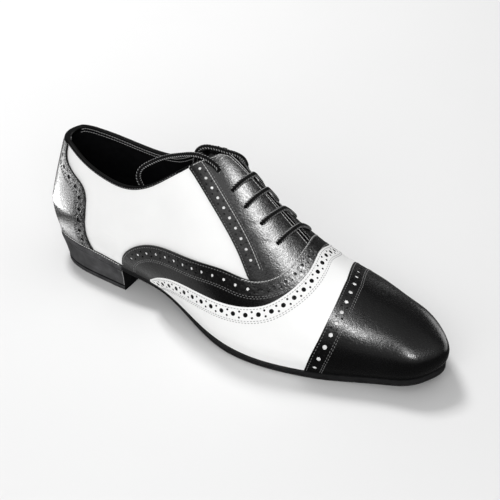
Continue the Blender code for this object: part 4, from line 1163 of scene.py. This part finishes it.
def slab_mesh(name, rings, materials, across=8, sharp=50.0):
    """Closed solid between rings of lateral and medial rows, welded and shaded round its edges."""
    made = bmesh.new()

    def lay(patch):
        corners = [[made.verts.new((point - ORIGIN_ON_LAST) * MM) for point in row] for row in patch]
        for low, high in zip(corners, corners[1:]):
            for a, b, c, d in zip(low, high, high[1:], low[1:]):
                made.faces.new((a, b, c, d))

    for side in (0, 1):
        lay(np.array([ring[:, side] for ring in rings]))
    share = np.linspace(0.0, 1.0, across + 1)
    part = share[:, None, None]
    for ring in (rings[0], rings[-1]):
        lay(ring[None, :, 0] * (1 - part) + ring[None, :, 1] * part)
    part = share[None, :, None]
    for end in (0, -1):
        edge = np.array([ring[end] for ring in rings])
        lay(edge[:, :1] * (1 - part) + edge[:, 1:] * part)
    bmesh.ops.remove_doubles(made, verts=made.verts, dist=0.01 * MM)
    bmesh.ops.dissolve_degenerate(made, edges=made.edges, dist=0.005 * MM)
    bmesh.ops.recalc_face_normals(made, faces=made.faces)
    mesh = bpy.data.meshes.new(name)
    made.to_mesh(mesh)
    made.free()
    for material in materials:
        mesh.materials.append(material)
    mesh.shade_smooth()
    mesh.set_sharp_from_angle(angle=math.radians(sharp))
    return mesh


def sole_ring(last, places, overhang, heights):
    """Lateral and medial rows of the feather line, moved out sideways, at given heights."""
    ring = np.empty((len(places), 2, 3))
    for k, side in enumerate(SIDES):
        around = last.around_at(places, side)
        around[0], around[places >= last.sizes.last_length] = k, 0.5
        forward = last.outline(around + 1e-4) - last.outline(around - 1e-4)
        out = unit(np.stack([forward[:, 1], -forward[:, 0]], -1))
        ring[:, k, :2] = last.outline(around) + out * np.asarray(overhang)[..., None]
        ring[:, k, 2] = heights
    return ring


def foot_stations(last, count):
    """Distances along the foot, evenly spaced round the feather line."""
    t = np.linspace(0.0, 1.0, count + 1)
    around = 0.5 * (t - 0.35 * np.sin(2.0 * math.pi * t) / (2.0 * math.pi))
    return np.interp(around, last.share, last.lateral_x)


def heel_stations(count):
    """Distances along the heel, close together at its back, with a narrow strip at its breast that takes
    the painted highlight of the breast's edge.
    """
    spread = HEEL_BREAST * (1.0 - np.cos(np.linspace(0.0, math.pi / 2, count + 1)))
    return np.append(spread[:-1], [HEEL_BREAST - BREAST_GLINT_STRIP, HEEL_BREAST])


def heel_ring(last, places, inset, lean, heights):
    """Lateral and medial rows of the heel, drawn in, and leaning forward at the back."""
    ring = sole_ring(last, places, column(SOLE, "overhang")(places) - inset, heights)
    ring[..., 0] += lean * (1.0 - places / HEEL_BREAST)[:, None] ** 2
    return ring


class SHOE_OT_sole(bpy.types.Operator):
    """Make the leather sole with its rounded, grooved edge"""

    bl_idname = "shoe.sole"
    bl_label = "Sole"

    def execute(self, context):
        last, finish = last_of(context), finishes(context)
        places = foot_stations(last, 220)
        overhang = column(SOLE, "overhang")(places)
        top = last.feather(places) - GAP
        under = np.maximum(top - column(SOLE, "thickness")(places), 0.0)
        rings = []
        for row in SOLE_ROUNDING:
            rounding = row.overhang * np.clip((places - HEEL_BREAST) / 6.0 + 1.0, 0.15, 1.0)
            rings.append(sole_ring(last, places, overhang + rounding, top + row.depth * (under - top)))
        mesh = slab_mesh("outsole_leather", rings, [finish.sole, finish.heel], 12)
        for face in mesh.polygons:
            over_heel = face.center.x / MM + ORIGIN_ON_LAST[0] < HEEL_BREAST
            face.material_index = int(over_heel and abs(face.normal.z) < 0.9)
        place_piece("outsole_leather", mesh, "sole_leather", "outsole")
        return {"FINISHED"}


class SHOE_OT_heel(bpy.types.Operator):
    """Make the heel block and its wearing piece"""

    bl_idname = "shoe.heel"
    bl_label = "Heel"

    def execute(self, context):
        last, finish = last_of(context), finishes(context)
        places = heel_stations(72)
        top = last.feather(places) - GAP - column(SOLE, "thickness")(places) - 0.02
        low = TOP_PIECE_HEIGHT + GAP
        rings = []
        for share in np.linspace(1.0, 0.0, 17):
            inset, lean = column(HEEL, "inset")(share), column(HEEL, "lean")(share)
            rings.append(heel_ring(last, places, inset, lean, low + share * (top - low)))
        mesh = slab_mesh("heel_block", rings, [finish.heel, finish.lining, finish.light_thread])
        # Faces of the narrow strip at the breast take the pale thread colour: a painted highlight along the
        # breast's edge
        for face in mesh.polygons:
            front = face.center.x / MM + ORIGIN_ON_LAST[0] > HEEL_BREAST - BREAST_GLINT_STRIP
            face.material_index = 1 if face.normal.x > 0.8 else 2 * int(front)
        place_piece("heel_block", mesh, "heel_block", "heel_stack")
        rings = []
        for row in TOP_PIECE:
            heights = np.full(len(places), row.height * TOP_PIECE_HEIGHT)
            rings.append(heel_ring(last, places, HEEL[0].inset + row.inset, HEEL[0].lean, heights))
        mesh = slab_mesh("heel_wearing_piece", rings, [finish.rubber, finish.lining])
        for face in mesh.polygons:
            # Side faces above two thirds of the wearing piece's height take the black lining colour:
            # painted shade of the groove under the heel block
            groove_shade = face.center.z > GROOVE_SHADE_FROM * TOP_PIECE_HEIGHT * MM
            face.material_index = int(groove_shade or face.normal.x > 0.8)
        place_piece("heel_wearing_piece", mesh, "heel_rubber", "heel_top_piece")
        return {"FINISHED"}


class SHOE_OT_insole(bpy.types.Operator):
    """Make the insole with its soft edge"""

    bl_idname = "shoe.insole"
    bl_label = "Insole"

    def execute(self, context):
        last, finish = last_of(context), finishes(context)
        places = foot_stations(last, 160)
        low = last.feather(places)
        rings = []
        for share, inset in ((0.0, 0.0), (0.6, 0.0), (0.85, 0.25), (1.0, 0.9)):
            overhang = np.full(len(places), -INSOLE_INSET - inset)
            rings.append(sole_ring(last, places, overhang, low + share * INSOLE_THICKNESS))
        mesh = slab_mesh("insole_leather", rings, [finish.lining], 12)
        place_piece("insole_leather", mesh, "lining", "insole")
        return {"FINISHED"}


class SHOE_OT_upper(bpy.types.Operator):
    """Make the white upper with its black lining"""

    bl_idname = "shoe.upper"
    bl_label = "Upper"

    def execute(self, context):
        last, finish = last_of(context), finishes(context)
        wall = last.sizes.upper_wall
        stations = np.sort(np.append(foot_stations(last, 200), [SLIT_END - 0.01, SLIT_END]))
        rows = np.linspace(0.0, 1.0, 49)
        pile = Pile()
        for side in SIDES:
            top = last.top_edge(stations, side)
            places = last.pattern(stations[:, None], rows[None, :] * top[:, None], side)
            outer, normal = last.surface(places, UPPER_SKIN)
            pile.grid(outer, normal, 0)
            inner = outer - normal * wall
            pile.grid(inner, -normal, 1)
            lip = np.stack([outer[:, -1], inner[:, -1]], axis=1)
            across = unit(outer[:, -1] - outer[:, -2])
            pile.grid(lip, np.stack([across, across], axis=1), 1)
        mesh = pile.mesh("upper_leather", [finish.white, finish.lining])
        place_piece("upper_leather", mesh, "white_leather", "upper")
        return {"FINISHED"}


def wing_edges(last):
    """Top edge of the wing, from the medial side over the throat to the lateral side."""
    return joined(smooth_edge(last, WING_EDGE, "medial"), smooth_edge(last, WING_EDGE, "lateral")[-2::-1])


def swoop_edges(last):
    """Top edge of the vamp, run in the same way."""
    return joined(smooth_edge(last, SWOOP_EDGE, "medial"), smooth_edge(last, SWOOP_EDGE, "lateral")[-2::-1])


def cap_edges(last):
    """Edge of the toe cap, run in the same way."""
    return joined(cap_line(last, "medial"), cap_line(last, "lateral")[-2::-1])


class SHOE_OT_wing(bpy.types.Operator):
    """Make the black wing along both sides and across the foot of the throat"""

    bl_idname = "shoe.wing"
    bl_label = "Wing"

    def execute(self, context):
        last, finish = last_of(context), finishes(context)
        tuck = [EdgeRow(row.x + TUCK, max(SOLE_LINE, row.girth - 0.008)) for row in SWOOP_EDGE[:-1]]
        tuck.append(EdgeRow(SWOOP_EDGE[-1].x + TUCK, 1.0))
        lines = {side: smooth_edge(last, tuck, side) for side in SIDES}
        heel = WING_EDGE[0].x
        feet = {}
        for side in SIDES:
            back = MEDIAL_SETBACK if side == "medial" else 0.0
            feet[side] = sole_line(last, heel - back, tuck[0].x - back, side)[:-1]
        edge = wing_edges(last)
        front = joined(lines["lateral"], lines["medial"][-2::-1])
        outline = joined(feet["lateral"], front, feet["medial"][::-1], edge[:-1])
        throat = last.pattern(174.5, 1.0, "lateral")[0]

        def backing_at(place):
            return BLACK_BACKING if place[0] > throat else WHITE_BACKING

        holes = perforations(last, edge, WING_HOLES, last.sizes.wing_hole, backing_at)
        pile = Pile()
        cut_leather(pile, last, outline, holes, WING_TOP, last.sizes.mesh_step, (edge, WING_BORDER))
        mesh = pile.mesh("wing_leather", [finish.black, *finish.backings, finish.grained])
        place_piece("wing_leather", mesh, "black_leather", "wing")
        return {"FINISHED"}


class SHOE_OT_vamp(bpy.types.Operator):
    """Make the white vamp with its perforated swoop"""

    bl_idname = "shoe.vamp"
    bl_label = "Vamp"

    def execute(self, context):
        last, finish = last_of(context), finishes(context)
        edge = swoop_edges(last)
        cap = joined(cap_line(last, "lateral", TUCK), cap_line(last, "medial", TUCK)[-2::-1])
        feet = {}
        for side in SIDES:
            start = SWOOP_EDGE[0].x - (MEDIAL_SETBACK if side == "medial" else 0.0)
            feet[side] = sole_line(last, start, getattr(CAP_EDGE[0], side) + TUCK, side)[:-1]
        outline = joined(feet["lateral"], cap, feet["medial"][::-1], edge[:-1])
        holes = perforations(last, edge, VAMP_HOLES, last.sizes.hole, lambda place: BLACK_BACKING)
        pile = Pile()
        cut_leather(pile, last, outline, holes, VAMP_TOP, last.sizes.mesh_step * 1.1)
        mesh = pile.mesh("vamp_leather", [finish.white, *finish.backings])
        place_piece("vamp_leather", mesh, "white_leather", "vamp")
        return {"FINISHED"}


class SHOE_OT_toe_cap(bpy.types.Operator):
    """Make the polished toe cap with its perforated edge"""

    bl_idname = "shoe.toe_cap"
    bl_label = "Toe cap"

    def execute(self, context):
        last, finish = last_of(context), finishes(context)
        edge = cap_edges(last)
        tip = last.sizes.last_length
        feet = {side: sole_line(last, getattr(CAP_EDGE[0], side), tip, side) for side in SIDES}
        across = np.linspace(-1.0, 1.0, 201)[1:-1, None] * (1.0 - SOLE_LINE) * GIRTH_SCALE
        seam = np.hstack([np.full_like(across, last.length), across])
        outline = joined(feet["lateral"], seam, feet["medial"][::-1], edge[1:-1])
        holes = perforations(last, edge, CAP_HOLES, last.sizes.hole, lambda place: WHITE_BACKING)
        pile = Pile()
        cut_leather(pile, last, outline, holes, CAP_TOP, last.sizes.mesh_step)
        mesh = pile.mesh("toe_cap_leather", [finish.cap, *finish.backings])
        place_piece("toe_cap_leather", mesh, "black_leather", "toe_cap")
        return {"FINISHED"}


def counter_front(last, side):
    """Front edge of the heel counter, from the sole up to the binding."""
    points = np.array([(row.x, row.girth) for row in COUNTER_EDGE])
    x, share = smooth_path(points, 300, (1.0, GIRTH_SCALE)).T
    below = share < last.top_edge(x, side) - UNDER_BINDING / last.girth_length(x, side)
    return last.pattern(x[below], np.maximum(share[below], SOLE_LINE), side)


def counter_top(last, side, count=60):
    """Top edge of the heel counter, from its front back to the middle of the heel."""
    return last.from_top(np.linspace(COUNTER_EDGE[-1].x, 0.0, count), UNDER_BINDING, side)


class SHOE_OT_counter(bpy.types.Operator):
    """Make the heel counter with its narrow back strip"""

    bl_idname = "shoe.counter"
    bl_label = "Heel counter"

    def execute(self, context):
        last, finish = last_of(context), finishes(context)
        pile = Pile()
        for side in SIDES:
            front = counter_front(last, side)
            top = counter_top(last, side)
            drop = last.pattern(0.0, SOLE_LINE, side) - top[-1]
            back = top[-1] + np.linspace(0.0, 1.0, 90)[1:, None] * drop
            foot = sole_line(last, 0.0, COUNTER_EDGE[0].x, side)[1:-1]
            outline = joined(front, top[1:], back, foot)
            edge = front if side == "lateral" else front[::-1]
            holes = perforations(last, edge, COUNTER_HOLES, last.sizes.hole, lambda place: BLACK_BACKING)
            border = (front, COUNTER_BORDER)
            cut_leather(pile, last, outline, holes, COUNTER_TOP, last.sizes.mesh_step, border)
        mesh = pile.mesh("counter_leather", [finish.counter, *finish.backings, finish.grained])
        place_piece("counter_leather", mesh, "black_leather", "heel_counter")
        return {"FINISHED"}


def slit_edge(last, side, count=200):
    """Edge of a facing along the slit and round its top, from the wing to its back edge."""
    return last.from_top(np.linspace(WING_EDGE[-1].x + 1.0, FACING_EDGE[0].x + 0.3, count), GAP, side)


def facing_back(last, side):
    """Back edge of a facing, from the top line down to the wing."""
    return smooth_edge(last, FACING_EDGE, side)


class SHOE_OT_facings(bpy.types.Operator):
    """Make both lace facings with their eyelets"""

    bl_idname = "shoe.facings"
    bl_label = "Facings"

    def execute(self, context):
        last, finish = last_of(context), finishes(context)
        for side in SIDES:
            back, slit = facing_back(last, side), slit_edge(last, side)
            tuck = [EdgeRow(row.x + 3.0, row.girth - 0.02) for row in WING_EDGE if 0.5 < row.girth < 0.97]
            foot = [FACING_EDGE[-1]] + tuck
            foot = joined(smooth_edge(last, foot, side, 60)[1:], slit[:1])
            outline = joined(foot, slit[1:], back)
            edge = back if side == "lateral" else back[::-1]
            size = last.sizes.wing_hole
            holes = perforations(last, edge, FACING_HOLES, size, lambda place: WHITE_BACKING)
            for number in range(len(EYELETS)):
                eyelet = last.from_ridge(*eyelet_place(number, side), side)
                holes.append((eyelet, EYELET_RADIUS, BLACK_BACKING))
            pile = Pile()
            cut_leather(pile, last, outline, holes, FACING_TOP, last.sizes.mesh_step * 0.85)
            name = "facing_leather_" + side
            mesh = pile.mesh(name, [finish.black, *finish.backings])
            place_piece(name, mesh, "black_leather", "facing_" + side)
        return {"FINISHED"}


class SHOE_OT_binding(bpy.types.Operator):
    """Make the binding folded over the top line"""

    bl_idname = "shoe.binding"
    bl_label = "Collar binding"

    def execute(self, context):
        last, finish = last_of(context), finishes(context)
        inner = UPPER_SKIN - last.sizes.upper_wall
        section = [(-BINDING_REACH, UPPER_SKIN + 0.05)]
        section += [(-BINDING_REACH, UPPER_SKIN + 0.4), (-BINDING_REACH + 0.4, UPPER_SKIN + 0.65)]
        section += [(0.2, UPPER_SKIN + 0.7)]
        middle, half = (UPPER_SKIN + inner) / 2, (UPPER_SKIN - inner) / 2 + 0.7
        for turn in np.radians([60.0, 30.0, 0.0, -30.0, -60.0]):
            section.append((0.2 + 1.0 * math.cos(turn), middle + half * math.sin(turn)))
        section += [(0.2, inner - 0.7), (-BINDING_REACH, inner - 0.6), (-BINDING_REACH, inner - 0.05)]
        x = np.concatenate([np.linspace(BINDING_END, 6.0, 170), np.linspace(5.8, 0.0, 24)])
        rows = []
        for side in SIDES:
            strands = [last.surface(last.from_top(x, -along, side), out)[0] for along, out in section]
            rows.append(np.array(strands).transpose(1, 0, 2))
        points = np.vstack([rows[0], rows[1][-2::-1]])
        along, around = np.gradient(points, axis=0), np.gradient(points, axis=1)
        normal = unit(np.cross(along, around))
        if normal[len(x) // 2, 3] @ (0.0, -1.0, 0.0) < 0:
            normal = -normal
        pile = Pile()
        pile.grid(points, normal)
        mesh = pile.mesh("binding_leather", [finish.binding])
        place_piece("binding_leather", mesh, "binding", "collar_binding")
        return {"FINISHED"}


class SHOE_OT_tongue(bpy.types.Operator):
    """Make the tongue under the lacing slit"""

    bl_idname = "shoe.tongue"
    bl_label = "Tongue"

    def execute(self, context):
        last, finish = last_of(context), finishes(context)
        x = np.linspace(TONGUE_TOP, TONGUE_END, 110)
        share = np.linspace(-1.0, 1.0, 81)
        corner = np.sqrt(np.clip((x - TONGUE_TOP) / 9.0, 0.0, 1.0)) * 0.4 + 0.6
        reach = TONGUE_HALF_WIDTH * np.minimum(corner, 1.0)
        places = np.empty((len(x), len(share), 2))
        for j, part in enumerate(share):
            side = "lateral" if part <= 0 else "medial"
            places[:, j] = last.from_ridge(x, abs(part) * reach, side)
        outer, normal = last.surface(places, TONGUE_LIFT)
        inner = outer - normal * TONGUE_LEATHER
        pile = Pile()
        pile.grid(outer, normal, 0)
        pile.grid(inner, -normal, 1)
        edges = np.s_[0], np.s_[-1], np.s_[:, 0], np.s_[:, -1]
        beside = np.s_[1], np.s_[-2], np.s_[:, 1], np.s_[:, -2]
        for edge, line in zip(edges, beside):
            away = unit(outer[edge] - outer[line])
            lip = np.stack([outer[edge], inner[edge]], axis=1)
            pile.grid(lip, np.stack([away, away], axis=1), 0)
        mesh = pile.mesh("tongue_leather", [finish.black, finish.lining])
        place_piece("tongue_leather", mesh, "black_leather", "tongue")
        return {"FINISHED"}


def braid_mesh(name, path, ups, width, thickness, material, sides=16):
    """Flat braid along a path, its broad side turned to the given up directions."""
    along = unit(np.gradient(path, axis=0))
    across = unit(np.cross(along, ups))
    over = np.cross(across, along)
    turn = np.linspace(0.0, 2.0 * math.pi, sides + 1)
    flat, high = (np.sign(wave) * np.abs(wave) ** 0.8 for wave in (np.cos(turn), np.sin(turn)))
    wide, thick = (np.broadcast_to(size, len(path))[:, None] / 2 for size in (width, thickness))

    def spread(sideways, upwards):
        return across[:, None] * sideways[..., None] + over[:, None] * upwards[..., None]

    pile = Pile()
    rings = path[:, None] + spread(flat * wide, high * thick)
    index = pile.grid(rings, unit(spread(np.cos(turn) / wide, np.sin(turn) / thick)))
    for end, heading in ((0, -along[0]), (-1, along[-1])):
        cap = pile.add(rings[end, :-1], np.repeat(heading[None], sides, axis=0)) + np.arange(sides)
        pile.face([cap if end else cap[::-1]])
    mesh = pile.mesh(name, [material])
    place = np.zeros((pile.count, 2))
    place[:index.size, 0] = np.repeat(run_length(path), sides + 1)
    place[:index.size, 1] = (flat * wide).ravel()
    layer = mesh.uv_layers.new(name="braid")
    loops = np.empty(len(mesh.loops), np.int32)
    mesh.loops.foreach_get("vertex_index", loops)
    layer.data.foreach_set("uv", place[loops].astype(np.float32).ravel())
    return mesh


def eyelet_place(number, side):
    """Distance along the foot of an eyelet, and its distance from the ridge."""
    row = EYELETS[number]
    x = row.x + (BAR_SLANT[number] if side == "medial" else 0.0)
    return x, getattr(row, side)


class SHOE_OT_lace_bars(bpy.types.Operator):
    """Run the lace across the slit from eyelet to eyelet"""

    bl_idname = "shoe.lace_bars"
    bl_label = "Lace bars"

    def execute(self, context):
        last, finish = last_of(context), finishes(context)
        sizes = last.sizes
        over = FACING_TOP + GAP + 0.95
        for number in range(1, len(EYELETS)):
            (near_x, near), (far_x, far) = (eyelet_place(number, side) for side in SIDES)
            reach = near + far
            rise = ((-0.2, -1.6), (0.0, -0.2), (0.9, 1.1), (2.4, over))
            rows = [(offset - near, lift) for offset, lift in rise]
            rows += [(-6.0, over + 0.1), (0.0, over + 0.3), (4.0, over + 0.15)]
            rows += [(far - offset, min(lift, FACING_TOP + 1.0)) for offset, lift in rise[::-1]]
            rows = smooth_path(np.array(rows), LACE_RINGS)
            x = near_x + (far_x - near_x) * np.clip((rows[:, 0] + near) / reach, 0.0, 1.0)
            path, ups = [], []
            for place, (offset, lift) in zip(x, rows):
                side = "lateral" if offset < 0 else "medial"
                point, normal = last.surface(last.from_ridge(place, abs(offset), side)[None], lift)
                path.append(point[0])
                ups.append(normal[0])
            path, ups = np.array(path), np.array(ups)
            depth = np.clip((rows[:, 1] + 0.2) / 1.6, 0.0, 1.0)
            width = 2.6 + (sizes.lace_width - 2.2) * depth
            name = f"lace_{number}"
            thickness = np.interp(rows[:, 0], (0.0, 6.0), (sizes.lace_thickness + 0.5, 1.8))
            mesh = braid_mesh(name, path, ups, width, thickness, finish.lace)
            place_piece(name, mesh, "lace", f"lace_bar_{number}")
        return {"FINISHED"}


class SHOE_OT_lace_ends(bpy.types.Operator):
    """Lay the two free lace ends over the throat and tuck them into the shoe"""

    bl_idname = "shoe.lace_ends"
    bl_label = "Lace ends"

    def execute(self, context):
        last, finish = last_of(context), finishes(context)
        sizes = last.sizes
        routes = (LATERAL_LACE_END, (0.25, -0.55, 0.8)), (MEDIAL_LACE_END, (0.35, -0.35, 0.85))
        for side, (route, face) in zip(SIDES, routes):
            path = smooth_path(np.array(route), 110)
            ups = np.repeat(np.array(face)[None], len(path), axis=0)
            name = "lace_tail_" + side
            mesh = braid_mesh(name, path, ups, sizes.lace_width, sizes.lace_thickness, finish.lace)
            piece = place_piece(name, mesh, "lace", "lace_end_" + side)
            world = (path - ORIGIN_ON_LAST) * MM
            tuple(world[0])
            run_length(world)[-1]
            eyelet = last.from_ridge(*eyelet_place(0, side), side)
            climb = [last.surface(eyelet, lift)[0] for lift in (-1.8, -0.4, 0.8)]
            hook = smooth_path(np.vstack([climb, path[3:12:4]]), 30)
            name = "lace_hook_" + side
            width, thickness = sizes.lace_width - 0.1, sizes.lace_thickness - 0.1
            mesh = braid_mesh(name, hook, ups[:30], width, thickness, finish.lace)
            place_piece(name, mesh, "lace")
        return {"FINISHED"}


class SHOE_OT_stitching(bpy.types.Operator):
    """Sew every seam of the upper"""

    bl_idname = "shoe.stitching"
    bl_label = "Stitching"

    def execute(self, context):
        last, finish = last_of(context), finishes(context)
        dark, bright, light = Pile(), Pile(), Pile()
        wing, cap = wing_edges(last), cap_edges(last)
        for edge, lift, pile, insets in (
                (wing, WING_TOP, dark, WING_SEAMS), (cap, CAP_TOP, dark, CAP_SEAMS),
                (swoop_edges(last), VAMP_TOP, light, VAMP_SEAMS)):
            for inset in insets:
                stitches(pile, last, last.inset(edge, inset), lift)
        throat = wing[wing[:, 0] > last.pattern(162.0, 1.0, "lateral")[0]]
        stitches(bright, last, last.inset(throat, 0.7), WING_TOP, CLOSE_SEWN)
        for side in SIDES:
            front, back, slit = counter_front(last, side), facing_back(last, side), slit_edge(last, side)
            if side == "medial":
                front, back, slit = front[::-1], back[::-1], slit[::-1]
            for inset in COUNTER_SEAMS:
                stitches(dark, last, last.inset(front, inset), COUNTER_TOP)
            stitches(dark, last, last.inset(back, 1.0), FACING_TOP)
            stitches(bright, last, last.inset(back, 8.6), FACING_TOP, CLOSE_SEWN)
            stitches(dark, last, last.inset(back, 9.9), FACING_TOP)
            # The slit row is sewn in the bright thread on the lateral facing and in the dark thread on the
            # medial one: the bright line is a painted highlight along the lateral slit edge
            slit_thread_and_glint = bright if side == "lateral" else dark
            stitches(slit_thread_and_glint, last, last.inset(slit, 0.8), FACING_TOP, CLOSE_SEWN)
            x = np.linspace(2.0, HEEL_BREAST, 90)
            stitches(bright, last, last.pattern(x, np.full(90, 0.012), side), COUNTER_TOP + 0.4)
            x = np.linspace(2.0, BINDING_END - 6.0, 140)
            # The row 0.2 mm below the top line is a painted highlight along the binding's crest, in thread
            # colour; the row 3.4 mm below is the lining's seam
            for below in (0.2, 3.4):
                out = UPPER_SKIN - last.sizes.upper_wall - (0.8 if below < BINDING_REACH else 0.1)
                stitches(light, last, last.from_top(x, below, side), out, 0.8, True)
            stitches(dark, last, last.from_top(x, 0.5, side), UPPER_SKIN + 0.66)
        for name, pile, thread, slot in (
                ("stitches_on_black", dark, finish.dark_thread, "lace"),
                ("stitches_on_facings", bright, finish.bright_thread, "lace"),
                ("stitches_on_white", light, finish.light_thread, "white_leather")):
            place_piece(name, pile.mesh(name, [thread]), slot)
        return {"FINISHED"}


def floor_finish(colour):
    """Smooth pale paper."""
    material, tree, shader, place = new_finish("pale_paper")
    tree.links.new(mottled(tree, place, colour, 3.0, 0.01), shader.inputs["Base Color"])
    tree.links.new(noise_between(tree, place, 20.0, 0.7, 0.8), shader.inputs["Roughness"])
    shader.inputs["Specular IOR Level"].default_value = 0.1
    return material


class SHOE_OT_stage(bpy.types.Operator):
    """Set up the floor, the soft boxes and the camera"""

    bl_idname = "shoe.stage"
    bl_label = "Stage"

    def execute(self, context):
        scene, stage = context.scene, context.scene.shoe_stage
        made = bmesh.new()
        bmesh.ops.create_grid(made, x_segments=8, y_segments=8, size=8.0)
        mesh = bpy.data.meshes.new("floor")
        made.to_mesh(mesh)
        made.free()
        mesh.materials.append(floor_finish(scene.shoe_colours.floor))
        floor = bpy.data.objects.new("floor", mesh)
        floor.location.z = -0.0001
        floor.visible_glossy = False
        scene.collection.objects.link(floor)
        for row in LIGHTS:
            light = bpy.data.lights.new(row.name, "AREA")
            light.shape = "RECTANGLE"
            light.size, light.size_y = row.width, row.height
            light.energy = row.power * stage.light
            lamp = bpy.data.objects.new(row.name, light)
            lamp.location = row.place
            aim = Vector(row.aim) - Vector(row.place)
            turn = Matrix.Rotation(math.radians(row.turn), 3, "Z")
            lamp.rotation_euler = (aim.to_track_quat("-Z", "Y").to_matrix() @ turn).to_euler()
            lamp.visible_camera = False
            lamp.visible_glossy = bool(row.shines_on)
            lamp.visible_diffuse = not row.shines_on
            scene.collection.objects.link(lamp)
            if row.name == "key":
                lamp.light_linking.blocker_collection = light_group("key_shadow")
            if row.shines_on:
                lamp.light_linking.receiver_collection = light_group(row.name)
        world = bpy.data.worlds.new("studio")
        scene.world = world
        world.use_nodes = True
        tree = world.node_tree
        shade = tree.nodes["Background"]
        shade.inputs["Color"].default_value = (1.0, 1.0, 1.0, 1.0)
        parts = node(tree, "ShaderNodeSeparateXYZ")
        tree.links.new(tree.nodes.new("ShaderNodeTexCoord").outputs["Generated"], parts.inputs["Vector"])
        limits = 0.55, 0.92, stage.horizon, stage.sky
        sky = mapped(tree, parts.outputs["Z"], limits, interpolation_type="SMOOTHSTEP")
        tree.links.new(sky, shade.inputs["Strength"])
        camera = bpy.data.objects.new("camera", bpy.data.cameras.new("camera"))
        camera.data.sensor_width = 36.0
        camera.data.lens = stage.lens
        camera.data.clip_end = 20.0
        camera.location = stage.camera_place
        tilt = Matrix.Rotation(math.pi / 2 - stage.elevation, 4, "X")
        camera.rotation_euler = (Matrix.Rotation(stage.azimuth, 4, "Z") @ tilt).to_euler()
        scene.collection.objects.link(camera)
        scene.camera = camera
        scene.view_settings.view_transform = "Standard"
        return {"FINISHED"}


OPERATORS = (
    SHOE_OT_stage, SHOE_OT_lace_ends, SHOE_OT_sole, SHOE_OT_heel, SHOE_OT_insole, SHOE_OT_upper,
    SHOE_OT_tongue, SHOE_OT_wing, SHOE_OT_vamp, SHOE_OT_toe_cap, SHOE_OT_counter, SHOE_OT_facings,
    SHOE_OT_binding, SHOE_OT_lace_bars, SHOE_OT_stitching)


class SHOE_PT_panel(bpy.types.Panel):
    """Lists the pieces of the shoe"""

    bl_idname = "SHOE_PT_panel"
    bl_label = "Dance shoe"
    bl_space_type = "VIEW_3D"
    bl_region_type = "UI"
    bl_category = "Shoe"

    def draw(self, context):
        layout = self.layout
        for group in (context.scene.shoe_sizes, context.scene.shoe_colours, context.scene.shoe_stage):
            box = layout.box()
            for name in group.__annotations__:
                box.prop(group, name)
        for operator in OPERATORS:
            layout.operator(operator.bl_idname)


CLASSES = (ShoeSizes, ShoeColours, ShoeStage) + OPERATORS + (SHOE_PT_panel,)


def register():
    for made in CLASSES:
        bpy.utils.register_class(made)
    bpy.types.Scene.shoe_sizes = PointerProperty(type=ShoeSizes)
    bpy.types.Scene.shoe_colours = PointerProperty(type=ShoeColours)
    bpy.types.Scene.shoe_stage = PointerProperty(type=ShoeStage)


def unregister():
    del bpy.types.Scene.shoe_stage
    del bpy.types.Scene.shoe_colours
    del bpy.types.Scene.shoe_sizes
    for made in reversed(CLASSES):
        bpy.utils.unregister_class(made)


def clear_startup():
    """Remove the startup scene's own cube, light and camera."""
    for name in ("Cube", "Light", "Camera"):
        old = bpy.data.objects.get(name)
        if old:
            bpy.data.objects.remove(old, do_unlink=True)


def main():
    clear_startup()
    register()
    for operator in OPERATORS:
        family, name = operator.bl_idname.split(".")
        getattr(getattr(bpy.ops, family), name)()


if __name__ == "__main__":
    main()
